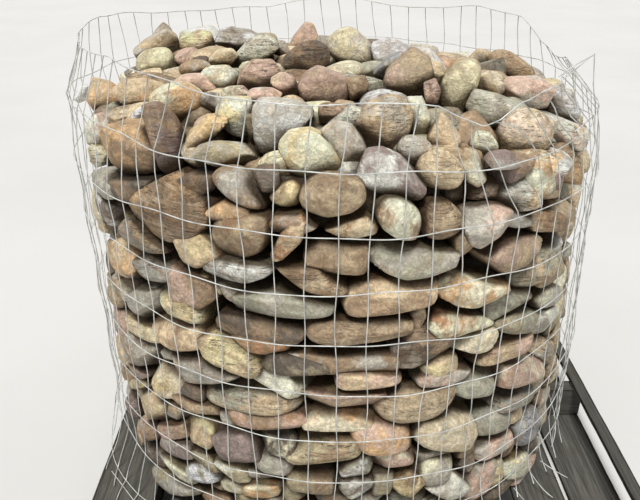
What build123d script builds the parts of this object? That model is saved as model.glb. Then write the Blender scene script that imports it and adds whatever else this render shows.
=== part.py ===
from build123d import *

import math
import os
import random

# A round basket of welded wire mesh filled with river cobbles, standing on a timber pallet.
# Millimetres, +Z up. The origin is the middle of the pallet on the ground. The front faces -Y.

os.makedirs("parts", exist_ok=True)

# Pallet: stringers run along X, deck boards run along Y.
PALLET_WIDTH = 1219.0
PALLET_DEPTH = 1219.0
STRINGER_WIDTH = 38.0
STRINGER_HEIGHT = 89.0
DECK_THICKNESS = 16.0
BASE_THICKNESS = 16.0
LEAD_BOARD_WIDTH = 138.0
INNER_BOARD_WIDTH = 112.0
INNER_BOARD_COUNT = 6
BASE_BOARD_WIDTH = 120.0
EDGE_STRIP_WIDTH = 30.0
EDGE_GAP = 150.0

# Mesh: 2 by 4 inch cells welded from 14 gauge wire, cut from a 3 foot roll.
WIRE = 2.0
CELL_WIDTH = 50.8
CELL_HEIGHT = 101.6
COLUMNS = 70
PANELS = 10
ROWS = 9
MESH_TURN = -1.77
BASKET_OVERHANG = 20.0

# Fill: courses of cobbles round the wall.
MESH_CLEARANCE = 6.0
COURSE_HEIGHTS = (98, 92, 104, 90, 100, 92, 98, 96)
STONES_PER_COURSE = (14, 13, 14, 13, 14, 13, 14, 13)
STONE_BULGE = 16.0
STONE_SETBACK = 18.0
JOINT_SHARE = 0.12
LAP_SHARE = 0.2
JOINT_PLAY = 0.18

# Heap: steps of cobbles, each smaller and nearer to the front than the one below.
HEAP_RADII = (455, 410, 330)
HEAP_HEIGHTS = (34, 35, 35)
HEAP_FORWARD = (70, 80, 100)
STONES_PER_STEP = (12, 11, 9)

# Crown: rings of single stones round the middle of the heap's top.
CROWN_DISTANCES = (0, 155, 290)
STONES_PER_RING = (1, 5, 9)
CROWN_LENGTHS = (145, 172)
CROWN_WIDTHS = (104, 124)
CROWN_HEIGHTS = (30, 42)
CROWN_TURN = 14.0
CROWN_CORNERS = 6
TOP_BEVEL_SHARE = 0.5
TOP_BEVEL_REACH = 28.0
FOOT_BEVEL_SHARE = 0.3
FOOT_BEVEL_REACH = 9.0

deck_top = BASE_THICKNESS + STRINGER_HEIGHT + DECK_THICKNESS
mesh_top = deck_top + ROWS * CELL_HEIGHT
pitch = 360.0 / COLUMNS
mesh_radius = CELL_WIDTH / (2 * math.sin(math.radians(pitch / 2)))
fill_radius = mesh_radius * math.cos(math.radians(pitch / 2)) - WIRE / 2 - MESH_CLEARANCE
basket_x = -PALLET_WIDTH / 2 - BASKET_OVERHANG + mesh_radius + WIRE / 2


def save(part, name):
    """Labels a finished piece and writes it to its own file."""
    part.label = name
    export_step(part, f"parts/{name}.step")


def save_in_basket(part, name, forward=0.0):
    """Moves a piece made round the origin to the basket's place on the pallet."""
    save(part.moved(Location((basket_x, -forward, 0))), name)


def polar(radius, degrees):
    """A plan point by its distance from the axis and its angle, from the front to the right."""
    turn = math.radians(degrees)
    return (radius * math.sin(turn), -radius * math.cos(turn))


def board(name, x, y, z, width, depth, thickness):
    """A squared timber, by its middle in plan and its underside."""
    with BuildPart() as timber:
        with BuildSketch(Plane.XY.offset(z)):
            with Locations((x, y)):
                Rectangle(width, depth)
        extrude(amount=thickness)
    save(timber.part, name)


# Pallet
stringer_spread = PALLET_DEPTH / 2 - STRINGER_WIDTH / 2
for name, side in (("front", -1), ("middle", 0), ("back", 1)):
    board(
        f"stringer_{name}",
        0,
        side * stringer_spread,
        BASE_THICKNESS,
        PALLET_WIDTH,
        STRINGER_WIDTH,
        STRINGER_HEIGHT,
    )

base_spread = PALLET_WIDTH / 2 - BASE_BOARD_WIDTH / 2
for name, side in (("left", -1), ("middle", 0), ("right", 1)):
    board(f"base_board_{name}", side * base_spread, 0, 0, BASE_BOARD_WIDTH, PALLET_DEPTH, BASE_THICKNESS)

deck_z = BASE_THICKNESS + STRINGER_HEIGHT
lead_x = -PALLET_WIDTH / 2 + LEAD_BOARD_WIDTH / 2
board("deck_board_lead", lead_x, 0, deck_z, LEAD_BOARD_WIDTH, PALLET_DEPTH, DECK_THICKNESS)
strip_x = PALLET_WIDTH / 2 - EDGE_STRIP_WIDTH / 2
board("deck_edge_strip", strip_x, 0, deck_z, EDGE_STRIP_WIDTH, PALLET_DEPTH, DECK_THICKNESS)

inner_left = -PALLET_WIDTH / 2 + LEAD_BOARD_WIDTH
inner_right = PALLET_WIDTH / 2 - EDGE_STRIP_WIDTH - EDGE_GAP
inner_gap = (inner_right - inner_left - INNER_BOARD_COUNT * INNER_BOARD_WIDTH) / INNER_BOARD_COUNT
for index in range(INNER_BOARD_COUNT):
    inner_x = inner_left + inner_gap + INNER_BOARD_WIDTH / 2 + index * (inner_gap + INNER_BOARD_WIDTH)
    board(
        f"deck_board_{index + 1}", inner_x, 0, deck_z, INNER_BOARD_WIDTH, PALLET_DEPTH, DECK_THICKNESS
    )


# Mesh
columns_per_panel = COLUMNS // PANELS
corners = [column * pitch for column in range(columns_per_panel + 1)]
outer_face = [polar(mesh_radius + WIRE / 2, corner) for corner in corners]
inner_face = [polar(mesh_radius - WIRE / 2, corner) for corner in corners]
upright_depth = 3 * WIRE

with BuildPart() as panel:
    for row in range(ROWS):
        with BuildSketch(Plane.XY.offset(deck_top + (row + 1) * CELL_HEIGHT - WIRE)):
            with BuildLine():
                Polyline(*outer_face, *reversed(inner_face), close=True)
            make_face()
        extrude(amount=WIRE)
    with BuildSketch(Plane.XY.offset(deck_top)):
        with BuildLine():
            Polyline(*outer_face, *reversed(inner_face), close=True)
        make_face()
        with BuildSketch(mode=Mode.INTERSECT):
            for corner in corners:
                with Locations(Location((*polar(mesh_radius, corner), 0), corner)):
                    Rectangle(WIRE, upright_depth)
    extrude(amount=ROWS * CELL_HEIGHT)

# The panels meet on half an upright each.
for index in range(PANELS):
    with BuildPart() as placed_panel:
        with Locations(Location((0, 0, 0), MESH_TURN + index * columns_per_panel * pitch)):
            add(panel.part)
    save_in_basket(placed_panel.part, f"mesh_panel_{index + 1}")


# Fill
def cobble_outline(radius, stones, seed):
    """Plan of one course: a flat face to each stone, some set back, and a slanting joint between."""
    chance = random.Random(seed)
    width = 360 / stones
    start = chance.uniform(0, width)
    outline = []
    for stone in range(stones):
        left = start + (stone + chance.uniform(-JOINT_PLAY, JOINT_PLAY)) * width
        face = radius - chance.uniform(0, STONE_SETBACK)
        outline.append((face, left + JOINT_SHARE * width))
        outline.append((face, left + (1 - JOINT_SHARE - LAP_SHARE) * width))
    return outline


def course(name, z, height, radius, stones, seed, forward=0.0):
    """One course of cobbles with its hearting, widest at mid height."""
    outline = cobble_outline(radius, stones, seed)
    with BuildPart() as layer:
        for level, inset in ((0, STONE_BULGE), (height / 2, 0), (height, STONE_BULGE)):
            shrink = 1 - inset / radius
            with BuildSketch(Plane.XY.offset(z + level)):
                with BuildLine():
                    Polyline(*[polar(r * shrink, a) for r, a in outline], close=True)
                make_face()
        loft(ruled=True)
    save_in_basket(layer.part, name, forward)


course_z = deck_top
for index, (height, stones) in enumerate(zip(COURSE_HEIGHTS, STONES_PER_COURSE)):
    course(f"cobble_course_{index + 1}", course_z, height, fill_radius, stones, index)
    course_z += height
heap_steps = zip(HEAP_RADII, HEAP_HEIGHTS, HEAP_FORWARD, STONES_PER_STEP)
for index, (radius, height, forward, stones) in enumerate(heap_steps):
    seed = len(COURSE_HEIGHTS) + index
    course(f"heap_course_{index + 1}", course_z, height, radius, stones, seed, forward)
    course_z += height


def cobble(length, width, height):
    """A flattened stone: an oval prism, its top edges bevelled more than its foot."""
    turns = [math.tau * corner / CROWN_CORNERS for corner in range(CROWN_CORNERS)]
    with BuildPart() as stone:
        with BuildSketch():
            Polygon(*[(length / 2 * math.cos(turn), width / 2 * math.sin(turn)) for turn in turns])
        extrude(amount=height)
        top = stone.faces().sort_by(Axis.Z)[-1]
        chamfer(top.edges(), TOP_BEVEL_REACH, TOP_BEVEL_SHARE * height, reference=top)
        foot = stone.faces().sort_by(Axis.Z)[0]
        chamfer(foot.edges(), FOOT_BEVEL_REACH, FOOT_BEVEL_SHARE * height, reference=foot)
    return stone.part


chance = random.Random(len(CROWN_DISTANCES))
crown_places = []
for distance, stones in zip(CROWN_DISTANCES, STONES_PER_RING):
    for stone in range(stones):
        bearing = 360 * (stone + chance.uniform(0, JOINT_PLAY)) / stones
        turn = bearing + chance.uniform(-CROWN_TURN, CROWN_TURN)
        size = [chance.uniform(*span) for span in (CROWN_LENGTHS, CROWN_WIDTHS, CROWN_HEIGHTS)]
        crown_places.append((Location((*polar(distance, bearing), course_z), turn), cobble(*size)))

with BuildPart() as crown:
    for place, stone in crown_places:
        with Locations(place):
            add(stone)
save_in_basket(crown.part, "crown_stones", HEAP_FORWARD[-1])

print("deck top", deck_top, "mesh top", mesh_top, "basket x", basket_x, "heap top", course_z)
print("crown", crown.part.bounding_box().max.Z, "solids", len(crown.part.solids()))
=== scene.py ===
"""Looks of a round gabion basket: river cobbles in a welded wire drum on a timber pallet.

Lengths are in millimetres until a mesh is made, and the basket's axis is the middle of
every plan. A place on the basket's wall is (k, j): k wire columns to the right of column 0,
which lies beside the front, and j cells down from the rim.
"""
import math
from functools import cache
import bpy
import numpy as np
from mathutils import Euler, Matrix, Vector


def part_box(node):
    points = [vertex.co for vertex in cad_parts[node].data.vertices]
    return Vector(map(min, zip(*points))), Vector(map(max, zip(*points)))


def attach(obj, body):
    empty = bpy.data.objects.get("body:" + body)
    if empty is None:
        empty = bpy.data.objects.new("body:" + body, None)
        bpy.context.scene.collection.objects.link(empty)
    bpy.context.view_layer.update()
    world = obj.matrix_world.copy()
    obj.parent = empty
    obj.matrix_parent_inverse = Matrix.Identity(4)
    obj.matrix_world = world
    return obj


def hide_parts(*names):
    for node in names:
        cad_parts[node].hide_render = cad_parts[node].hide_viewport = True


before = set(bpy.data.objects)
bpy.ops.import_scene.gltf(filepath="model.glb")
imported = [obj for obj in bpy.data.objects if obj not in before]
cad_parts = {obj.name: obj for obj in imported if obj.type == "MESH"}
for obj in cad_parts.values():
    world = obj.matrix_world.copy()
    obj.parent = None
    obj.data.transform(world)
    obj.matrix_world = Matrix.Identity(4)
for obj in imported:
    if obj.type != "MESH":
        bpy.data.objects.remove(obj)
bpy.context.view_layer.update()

# The basket, as the frame has it.
AXIS_X = -62.36
RIM_Z = 1035.4
DECK_Z = 121.0
RADIUS = 566.145
WIRE = 2.0
CELL_WIDTH = 50.8
CELL_HEIGHT = 101.6
COLUMNS = 70
ROWS = 9
PANELS = 10
FIRST_COLUMN = -17.5          # arc from the front to column 0
WALL_RADIUS = RADIUS - 5.0    # the stones' faces lie against the wire
WALL_TOP_Z = 900.0
# Tops of the courses: a stone belongs to one by its middle.
COURSE_TOPS = (219, 311, 415, 505, 605, 697, 795, 2000)

# The eye: where the photograph was taken from, about the basket's axis.
EYE = np.array((-45.0, -1495.0, 1285.4))
EYE_TURN = Euler([math.radians(angle) for angle in (90 - 27.05, 0.12, -0.07)], "XYZ")
FOCAL_PX = 680.3
IMAGE_WIDTH, IMAGE_HEIGHT = 640, 500
UP = np.array([0.0, 0.0, 1.0])

rng = np.random.default_rng(20231)


# ---------------------------------------------------------------- colours
TONES = {
    "tan": (184, 162, 128), "sand": (204, 184, 148), "cream": (222, 208, 176),
    "pale": (230, 222, 202), "grey": (166, 160, 146), "green": (152, 150, 130),
    "olive": (162, 150, 118), "brown": (146, 122, 94), "dark": (96, 86, 74),
    "rust": (164, 120, 82), "orange": (196, 158, 112), "pink": (190, 160, 140),
    "yellow": (208, 188, 140), "purple": (128, 112, 106), "blue": (150, 152, 154),
    "white": (234, 228, 214),
}


MOST_PALE = 0.84       # the most light that a stone's own colour gives back
TONE_STRENGTH = 0.86   # how much of a tone's own colour is kept beside its grey


def greyer(rgb):
    """The tone with less colour."""
    c = np.asarray(rgb, float)
    return c.mean() + (c - c.mean()) * TONE_STRENGTH


def linear(rgb):
    """A colour of 0 to 255 as scene-linear values."""
    c = np.asarray(rgb, float) / 255
    return np.where(c <= 0.04045, c / 12.92, ((c + 0.055) / 1.055) ** 2.4)


LINEAR = {name: linear(greyer(rgb)) for name, rgb in TONES.items()}


# ---------------------------------------------------------------- meshes
def placed(name, data):
    """A new object in the scene that holds the data."""
    obj = bpy.data.objects.new(name, data)
    bpy.context.scene.collection.objects.link(obj)
    return obj


def mesh_object(name, verts, faces, material, smooth=True):
    """A mesh object from millimetre coordinates about the pallet's middle."""
    mesh = bpy.data.meshes.new(name)
    mesh.from_pydata((np.asarray(verts) / 1000).tolist(), [], faces)
    mesh.validate()
    if smooth:
        mesh.shade_smooth()
    mesh.materials.append(material)
    obj = placed(name, mesh)
    return obj


def give(mesh, **attributes):
    """Keeps values a vertex on the mesh, for its material."""
    for name, values in attributes.items():
        values = np.asarray(values, np.float32)
        kind, field = ("FLOAT", "value") if values.ndim == 1 else ("FLOAT_VECTOR", "vector")
        if name in ("tint", "patch"):
            kind, field = "FLOAT_COLOR", "color"
            values = np.hstack([values, np.ones((len(values), 1), np.float32)])
        mesh.attributes.new(name, kind, "POINT").data.foreach_set(field, values.ravel())


def between(start, rings, count):
    """Quads between closed rings of count vertices each, which follow one another from start."""
    for ring in range(rings):
        for step in range(count):
            a, b = start + ring * count + step, start + ring * count + (step + 1) % count
            yield a, b, b + count, a + count


def ring_turns(count):
    """The angles of a ring's vertices."""
    return [2 * math.pi * step / count for step in range(count)]


@cache
def cube_sphere(n):
    """Unit directions and quads of a cube blown up to a ball, n by n faces a side."""
    index, points, quads = {}, [], []
    steps = np.tan(np.linspace(-1, 1, n + 1) * math.pi / 4)
    for axis in range(3):
        for sign in (-1, 1):
            grid = np.zeros((n + 1, n + 1), int)
            for a, b in np.ndindex(n + 1, n + 1):
                p = [0.0, 0.0, 0.0]
                p[axis], p[(axis + 1) % 3], p[(axis + 2) % 3] = float(sign), steps[a], steps[b]
                key = tuple(round(v, 6) for v in p)
                if key not in index:
                    index[key] = len(points)
                    points.append(p)
                grid[a, b] = index[key]
            for a, b in np.ndindex(n, n):
                q = (grid[a, b], grid[a + 1, b], grid[a + 1, b + 1], grid[a, b + 1])
                quads.append(q if sign > 0 else q[::-1])
    points = np.array(points)
    return points / np.linalg.norm(points, axis=1, keepdims=True), np.array(quads)


def smooth_noise(points, seed, terms=5, reach=1.0):
    """A soft bumpy field of a few sine waves."""
    r = np.random.default_rng(seed)
    out = np.zeros(len(points))
    for _ in range(terms):
        direction = r.normal(size=3)
        out += np.sin(points @ direction * reach * 2.2 + r.uniform(0, 6.28))
    return out / terms


SHAPES = {     # sides of the outline, its sharpness, roundness in depth, facets, their sharpness,
               # and how near and far the outline's sides and the facets lie
    "round": (7, 5.0, 2.5, 4, 13.0, (0.90, 1.14), (0.76, 1.0)),
    "plain": (6, 12.0, 3.6, 9, 34.0, (0.88, 1.14), (0.74, 1.0)),
    "angular": (4, 30.0, 5.5, 9, 60.0, (0.84, 1.12), (0.72, 1.0)),
    "slab": (4, 9.0, 3.8, 7, 34.0, (1.00, 1.24), (0.80, 1.05)),
}


def gauge(directions, normals, depth, power):
    """How far out each direction lies, against softly joined planes, and against each."""
    cut = np.maximum(directions @ normals.T, 0) / depth
    return (cut ** power).sum(1) ** (1 / power), cut


def outline_sides(corners):
    """Outward directions and distances of the sides of an outline round its middle."""
    points = np.array(corners, float)
    edge = np.roll(points, -1, axis=0) - points
    out = np.stack([edge[:, 1], np.zeros(len(points)), -edge[:, 0]], -1)
    out /= np.linalg.norm(out, axis=1, keepdims=True)
    reach = out[:, 0] * points[:, 0] + out[:, 2] * points[:, 1]
    return out * np.sign(reach)[:, None], np.maximum(np.abs(reach), 0.12)


OUTLINED_SHARPER = 1.3          # how much sharper an outlined stone's outline is
OUTLINED_FULLER = 1.15          # and how much fuller in depth
OUTLINED_FACETS = (0.83, 1.08)  # and how near and far its facets lie
OUTLINED_TURN = 1.5             # and how far at least they are turned to the front or back
SKEW = 0.10                     # how far other stones lean out of their box


def stone_shape(size, shape, seed, n, corners=None):
    """Vertices of one cobble about its middle: length, depth and height are its sides.

    The outline is random, or has its corners where they are given, from -1 to 1."""
    r = np.random.default_rng(seed)
    directions, quads = cube_sphere(n)
    sides, power, pillow, facets, edge, outline_reach, facet_reach = SHAPES[shape]
    turns = r.uniform(0, 2 * math.pi, sides)
    outline = np.stack([np.cos(turns), np.zeros(sides), np.sin(turns)], -1)
    box = np.array([(1, 0, 0), (-1, 0, 0), (0, 0, 1), (0, 0, -1)], float)
    outline = np.vstack([box, outline])
    reach = np.concatenate([r.uniform(0.94, 1.0, 4), r.uniform(*outline_reach, sides)])
    planes = r.normal(size=(facets, 3))
    if corners:
        outline, reach = outline_sides(corners)
        power, pillow = power * OUTLINED_SHARPER, pillow * OUTLINED_FULLER
        facet_reach = OUTLINED_FACETS
        least = np.hypot(planes[:, 0], planes[:, 2]) * OUTLINED_TURN
        planes[:, 1] = np.copysign(np.maximum(np.abs(planes[:, 1]), least), planes[:, 1])
    planes /= np.linalg.norm(planes, axis=1, keepdims=True)
    flat, flat_cuts = gauge(directions, outline, reach, power)
    face, face_cuts = gauge(directions, planes, r.uniform(*facet_reach, facets), edge)
    deep = np.abs(directions[:, 1])
    body = (flat ** pillow + deep ** pillow) ** (1 / pillow)
    radius = 1 / (body ** edge + face ** edge) ** (1 / edge)
    cuts = np.sort(np.hstack([flat_cuts, face_cuts, deep[:, None] * 0.97]), axis=1)
    ridge = cuts[:, -2] / cuts[:, -1]
    radius *= 1 + 0.014 * smooth_noise(directions, seed + 1, 6, 1.4)
    radius *= 1 + 0.012 * smooth_noise(directions, seed + 2, 6, 4.2)
    verts = directions * radius[:, None]
    low, high = verts.min(0), verts.max(0)
    verts = (verts - (low + high) / 2) / (high - low)
    skew = r.normal(0, 0.0 if corners else SKEW, 3)
    verts[:, 0] += skew[0] * verts[:, 2]
    verts[:, 2] += skew[2] * verts[:, 0] * 0.6
    return verts * np.asarray(size), quads, ridge


CRISP = 27.0                  # degrees between faces that meet in a crisp edge
VOXEL = 12.0                  # a coarse grid that holds how full of stone the basket is
GRID_LOW = np.array([-720.0, -640.0, 60.0])
FILL = np.zeros((110, 108, 92), np.float32)
FILL_SHARES = (1.0, 0.88, 0.74, 0.58, 0.4, 0.2)   # shells of a stone that are marked in the grid
FEW = 260                     # stones with fewer vertices are marked between them too
REACH_OUT = 26.0              # how far in front of a face its grid place is read


def voxel(points):
    """Places in the grid, counted in its cells."""
    return np.clip((points - GRID_LOW) / VOXEL, 0, np.array(FILL.shape) - 1.001)


def fill_grid(piles_of_stones):
    """Marks where stone is, then spreads it over the neighbouring places."""
    parts = (0, .25, .5, .75)
    for pile in piles_of_stones:
        for verts, quads in zip(pile.verts, pile.faces):
            points = verts
            if len(verts) < FEW:
                a, b, c, d = (verts[(quads - quads.min())[:, i]] for i in range(4))
                points = np.vstack([(a * (1 - u) + b * u) * (1 - v) + (d * (1 - u) + c * u) * v
                                    for u in parts for v in parts])
            middle = verts.mean(0)
            for share in FILL_SHARES:
                at = voxel(middle + (points - middle) * share * 0.97).astype(int)
                FILL[tuple(at.T)] = 1.0
    for axis in (0, 0, 1, 1, 2, 2):
        FILL[:] = (np.roll(FILL, 1, axis) + FILL + np.roll(FILL, -1, axis)) / 3


def openness(verts, quads):
    """For each vertex, how free of other stone the space in front of it is: 1 is open. The stone
    material paints shade where it is low.
    """
    quads = quads - quads.min()
    a, b, c, d = (verts[quads[:, corner]] for corner in range(4))
    normal = np.zeros_like(verts)
    for corner in range(4):
        np.add.at(normal, quads[:, corner], np.cross(c - a, d - b))
    normal /= np.linalg.norm(normal, axis=1, keepdims=True) + 1e-9
    at = voxel(verts + normal * REACH_OUT)
    low = at.astype(int)
    part = at - low
    full = 0.0
    for corner in np.ndindex(2, 2, 2):
        share = np.where(corner, part, 1 - part).prod(1)
        full = full + share * FILL[tuple((low + corner).T)]
    return 1 - full


class Pile:
    """Stones gathered for one joined mesh."""

    def __init__(self):
        self.verts, self.faces, self.count = [], [], 0
        self.values = {"rock": [], "tint": [], "patch": [], "trait": [], "ridge": []}

    def add(self, verts, quads, **values):
        self.verts.append(verts)
        self.faces.append(quads + self.count)
        self.count += len(verts)
        for name, value in values.items():
            self.values[name].append(value)

    def build(self, name):
        piece = mesh_object(name, np.vstack(self.verts), np.vstack(self.faces).tolist(), STONE)
        piece.data.set_sharp_from_angle(angle=math.radians(CRISP))
        give(piece.data, **{key: np.concatenate(value) for key, value in self.values.items()},
             open=np.concatenate([openness(*stone) for stone in zip(self.verts, self.faces)]))
        return piece


RANDOM_TONES = (
    ("tan", 22), ("sand", 16), ("cream", 12), ("grey", 11), ("green", 9), ("olive", 11),
    ("brown", 11), ("pink", 5), ("rust", 3), ("dark", 3), ("yellow", 5), ("purple", 1),
)
TONE_NAMES = [name for name, share in RANDOM_TONES]
TONE_SHARES = np.array([share for name, share in RANDOM_TONES], float)
TONE_SHARES /= TONE_SHARES.sum()


def tones(words, r):
    """Base and second colour of a stone, from none, one or two tone names."""
    names = words.split()
    if not names:
        names = [str(r.choice(TONE_NAMES, p=TONE_SHARES))]
    if len(names) == 1:
        names.append(str(r.choice(TONE_NAMES, p=TONE_SHARES)))
    light = float(np.clip(r.normal(1.42, 0.19), 0.85, 1.9))
    base = LINEAR[names[0]] * light
    second = LINEAR[names[1]] * light
    return base, second if len(words.split()) > 1 else base * 0.55 + second * 0.45


# Faces along a side of the cube that a stone is blown up from, for stones up to a length: of
# listed stones, and of packed ones.
FINENESS = ((55, 8, 5), (90, 10, 7), (130, 13, 8), (math.inf, 15, 9))


def lay_stone(pile, centre, axes, size, tilt, shape, words, seed, rich=False, coarse=0, dim=1.0,
              corners=None):
    """One cobble. size is its length, depth and height along the axes: right, inward and up.

    Its right end is lower by tilt degrees. The vertices that it gives may still be moved."""
    r = np.random.default_rng(seed + 77)
    fine, plain = next(row[1:] for row in FINENESS if max(size) < row[0])
    n = coarse or (fine if rich else plain)
    verts, quads, ridge = stone_shape(size, shape, seed, n, corners)
    right, inward, up = axes
    c, s = math.cos(math.radians(tilt)), math.sin(math.radians(tilt))
    place = centre + verts @ np.array([c * right - s * up, inward, s * right + c * up])
    base, second = (np.minimum(tone * dim, MOST_PALE) for tone in tones(words, r))
    rock = verts / 1000 + r.uniform(-20, 20, 3)
    trait = np.array([r.beta(1.2, 2.2), r.beta(1.0, 3.0), r.uniform(0, 1)])
    ones = np.ones((len(verts), 1))
    pile.add(place, quads, rock=rock, tint=ones * base, patch=ones * second, trait=ones * trait,
             ridge=ridge)
    return place


# ---------------------------------------------------------------- nodes
class Nodes:
    """A short way to write the nodes of a material or of the world."""

    def __init__(self, owner):
        owner.use_nodes = True
        self.tree = owner.node_tree

    def put(self, socket, value):
        """Links an output to a socket, or sets the socket's own value."""
        if isinstance(value, bpy.types.NodeSocket):
            self.tree.links.new(value, socket)
        else:
            socket.default_value = (*value, 1) if socket.type == "RGBA" else value

    def new(self, kind, output, inputs, **settings):
        """The output of a new node, or all of them."""
        node = self.tree.nodes.new("ShaderNode" + kind)
        for key, value in settings.items():
            setattr(node, key, value)
        for key, value in inputs.items():
            self.put(node.inputs[key], value)
        return node.outputs if output is None else node.outputs[output]

    def attribute(self, name, output="Vector"):
        return self.new("Attribute", output, {}, attribute_name=name)

    def stretched(self, vector, scale):
        return self.new("Mapping", "Vector", {"Vector": vector, "Scale": scale})

    def noise(self, vector, scale, detail=4.0, rough=0.55, bend=0.0):
        return self.new("TexNoise", "Fac", {"Vector": vector, "Scale": scale, "Detail": detail,
                                            "Roughness": rough, "Distortion": bend})

    def cells(self, vector, scale):
        return self.new("TexVoronoi", "Distance", {"Vector": vector, "Scale": scale})

    def ramp(self, value, low, high, out_low=0.0, out_high=1.0, kind="SMOOTHSTEP"):
        return self.new("MapRange", "Result",
                        {"Value": value, "From Min": low, "From Max": high, "To Min": out_low,
                         "To Max": out_high}, interpolation_type=kind)

    def math(self, kind, a, b=0.0):
        return self.new("Math", 0, {0: a, 1: b}, operation=kind)

    def times(self, a, b):
        return self.math("MULTIPLY", a, b)

    def split(self, vector):
        return self.new("SeparateXYZ", None, {0: vector})

    def apart(self, value, middle):
        """How far a value is from a middle one."""
        return self.math("ABSOLUTE", self.math("SUBTRACT", value, middle))

    def mix(self, factor, a, b, blend="MIX"):
        return self.new("Mix", "Result", {"Factor": factor, "A": a, "B": b}, data_type="RGBA",
                        blend_type=blend)

    def shaded(self, colour, value, *ramp):
        """The colour, darker and lighter by a value's ramp."""
        grey = self.new("CombineColor", "Color",
                        dict.fromkeys(("Red", "Green", "Blue"), self.ramp(value, *ramp)))
        return self.mix(1.0, colour, grey, "MULTIPLY")

    def marked(self, colour, mark, share, rgb):
        """The colour, with a share of another where a mark is."""
        return self.mix(self.times(mark, share), colour, linear(rgb))

    def spotted(self, colour, value, low, high, most, rgb):
        """The colour, with up to most of another where a value passes from low to high."""
        return self.mix(self.ramp(value, low, high, 0.0, most), colour, linear(rgb))

    def bump(self, height, distance, strength, normal=None):
        inputs = {"Height": height, "Distance": distance, "Strength": strength}
        return self.new("Bump", "Normal", inputs | ({"Normal": normal} if normal else {}))


class Look(Nodes):
    """The nodes of a new material."""

    def __init__(self, name):
        self.material = bpy.data.materials.new(name)
        super().__init__(self.material)

    def finish(self, sockets):
        """Sets the shader's sockets, and gives the material."""
        for name, value in sockets.items():
            self.put(self.tree.nodes["Principled BSDF"].inputs[name], value)
        return self.material


def stone_material():
    """River stone: mottled, speckled, banded and stained, each cobble in its own tones; shade
    painted into its crevices.
    """
    m = Look("river_stone_look")
    rock = m.attribute("rock")
    banded, stained, worn = m.split(m.attribute("trait"))

    tint, patch = m.attribute("tint", "Color"), m.attribute("patch", "Color")
    colour = m.mix(m.ramp(m.noise(rock, 15.0, 6.0, 0.65, 0.5), 0.45, 0.60), tint, patch)
    shades = m.noise(rock, 52.0, 5.0, 0.7, 0.3)
    colour = m.shaded(colour, shades, 0.28, 0.72, 0.82, 1.16)
    bands = m.noise(m.stretched(rock, (6.0, 10.0, 62.0)), 1.6, 5.0, 0.62, 0.6)
    banded = m.ramp(banded, 0.42, 1.0, 0.0, 0.7)
    dark_band = m.times(m.ramp(bands, 0.52, 0.62, 0.0, 0.65), banded)
    colour = m.mix(dark_band, colour, m.mix(1.0, colour, (0.50, 0.46, 0.40), "MULTIPLY"))
    pale_band = m.times(m.ramp(bands, 0.44, 0.37), banded)
    colour = m.marked(colour, pale_band, 0.55, (224, 212, 184))
    stain = m.ramp(m.noise(rock, 12.0, 6.0, 0.68, 0.8), 0.50, 0.66)
    colour = m.marked(colour, m.times(stain, m.ramp(stained, 0.15, 0.9)), 0.8, (158, 112, 66))
    edges = m.math("ADD", m.attribute("ridge", "Fac"), m.times(shades, 0.25))
    colour = m.marked(colour, m.times(m.ramp(edges, 0.98, 1.12), worn), 0.55, (122, 92, 62))
    grain = m.noise(rock, 240.0, 3.0, 0.72)
    colour = m.shaded(colour, grain, 0.32, 0.68, 0.86, 1.14)
    chips = m.apart(m.noise(rock, 62.0, 5.0, 0.6, 0.4), 0.5)
    colour = m.shaded(colour, chips, 0.0, 0.12, 0.82, 1.14)
    crack = m.times(m.ramp(m.apart(bands, 0.47), 0.010, 0.002), m.ramp(worn, 0.62, 0.75))
    colour = m.marked(colour, crack, 0.7, (58, 48, 38))
    soil = m.noise(rock, 34.0, 5.0, 0.65)
    colour = m.spotted(colour, soil, 0.58, 0.72, 0.45, (96, 80, 60))
    colour = m.spotted(colour, m.cells(rock, 150.0), 0.16, 0.04, 0.4, (72, 60, 48))
    # Painted shade: the colour is darkened where other stone lies close in front of a face, as in
    # the crevices between stones.
    painted_crevice_shade = m.mix(1.0, colour, (0.17, 0.14, 0.105), "MULTIPLY")
    colour = m.mix(m.ramp(m.attribute("open", "Fac"), 0.28, 0.80), painted_crevice_shade, colour)

    normal = m.bump(m.noise(rock, 24.0, 6.0, 0.58, 0.3), 0.0105, 0.75)
    normal = m.bump(chips, 0.0075, 0.7, normal)
    normal = m.bump(grain, 0.0014, 0.9, normal)
    normal = m.bump(crack, -0.0030, 0.8, normal)
    normal = m.bump(m.times(bands, banded), 0.0026, 0.6, normal)
    return m.finish({"Base Color": colour, "Roughness": m.ramp(shades, 0.3, 0.7, 0.52, 0.82),
                     "Specular IOR Level": 0.4, "Normal": normal})


def wire_material():
    """Dull galvanised wire, with darker and rusty spots."""
    m = Look("galvanised_wire_look")
    place = m.new("TexCoord", "Object", {})
    blotch = m.noise(place, 38.0, 4.0, 0.6)
    colour = m.mix(m.ramp(blotch, 0.35, 0.7), linear((226, 228, 224)), linear((176, 178, 174)))
    colour = m.spotted(colour, m.noise(place, 9.0, 5.0, 0.7), 0.62, 0.74, 0.6, (120, 82, 54))
    return m.finish({"Base Color": colour, "Metallic": 0.15,
                     "Roughness": m.ramp(blotch, 0.3, 0.7, 0.38, 0.62),
                     "Normal": m.bump(m.noise(place, 900.0, 2.0), 0.0002, 0.6)})


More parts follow.
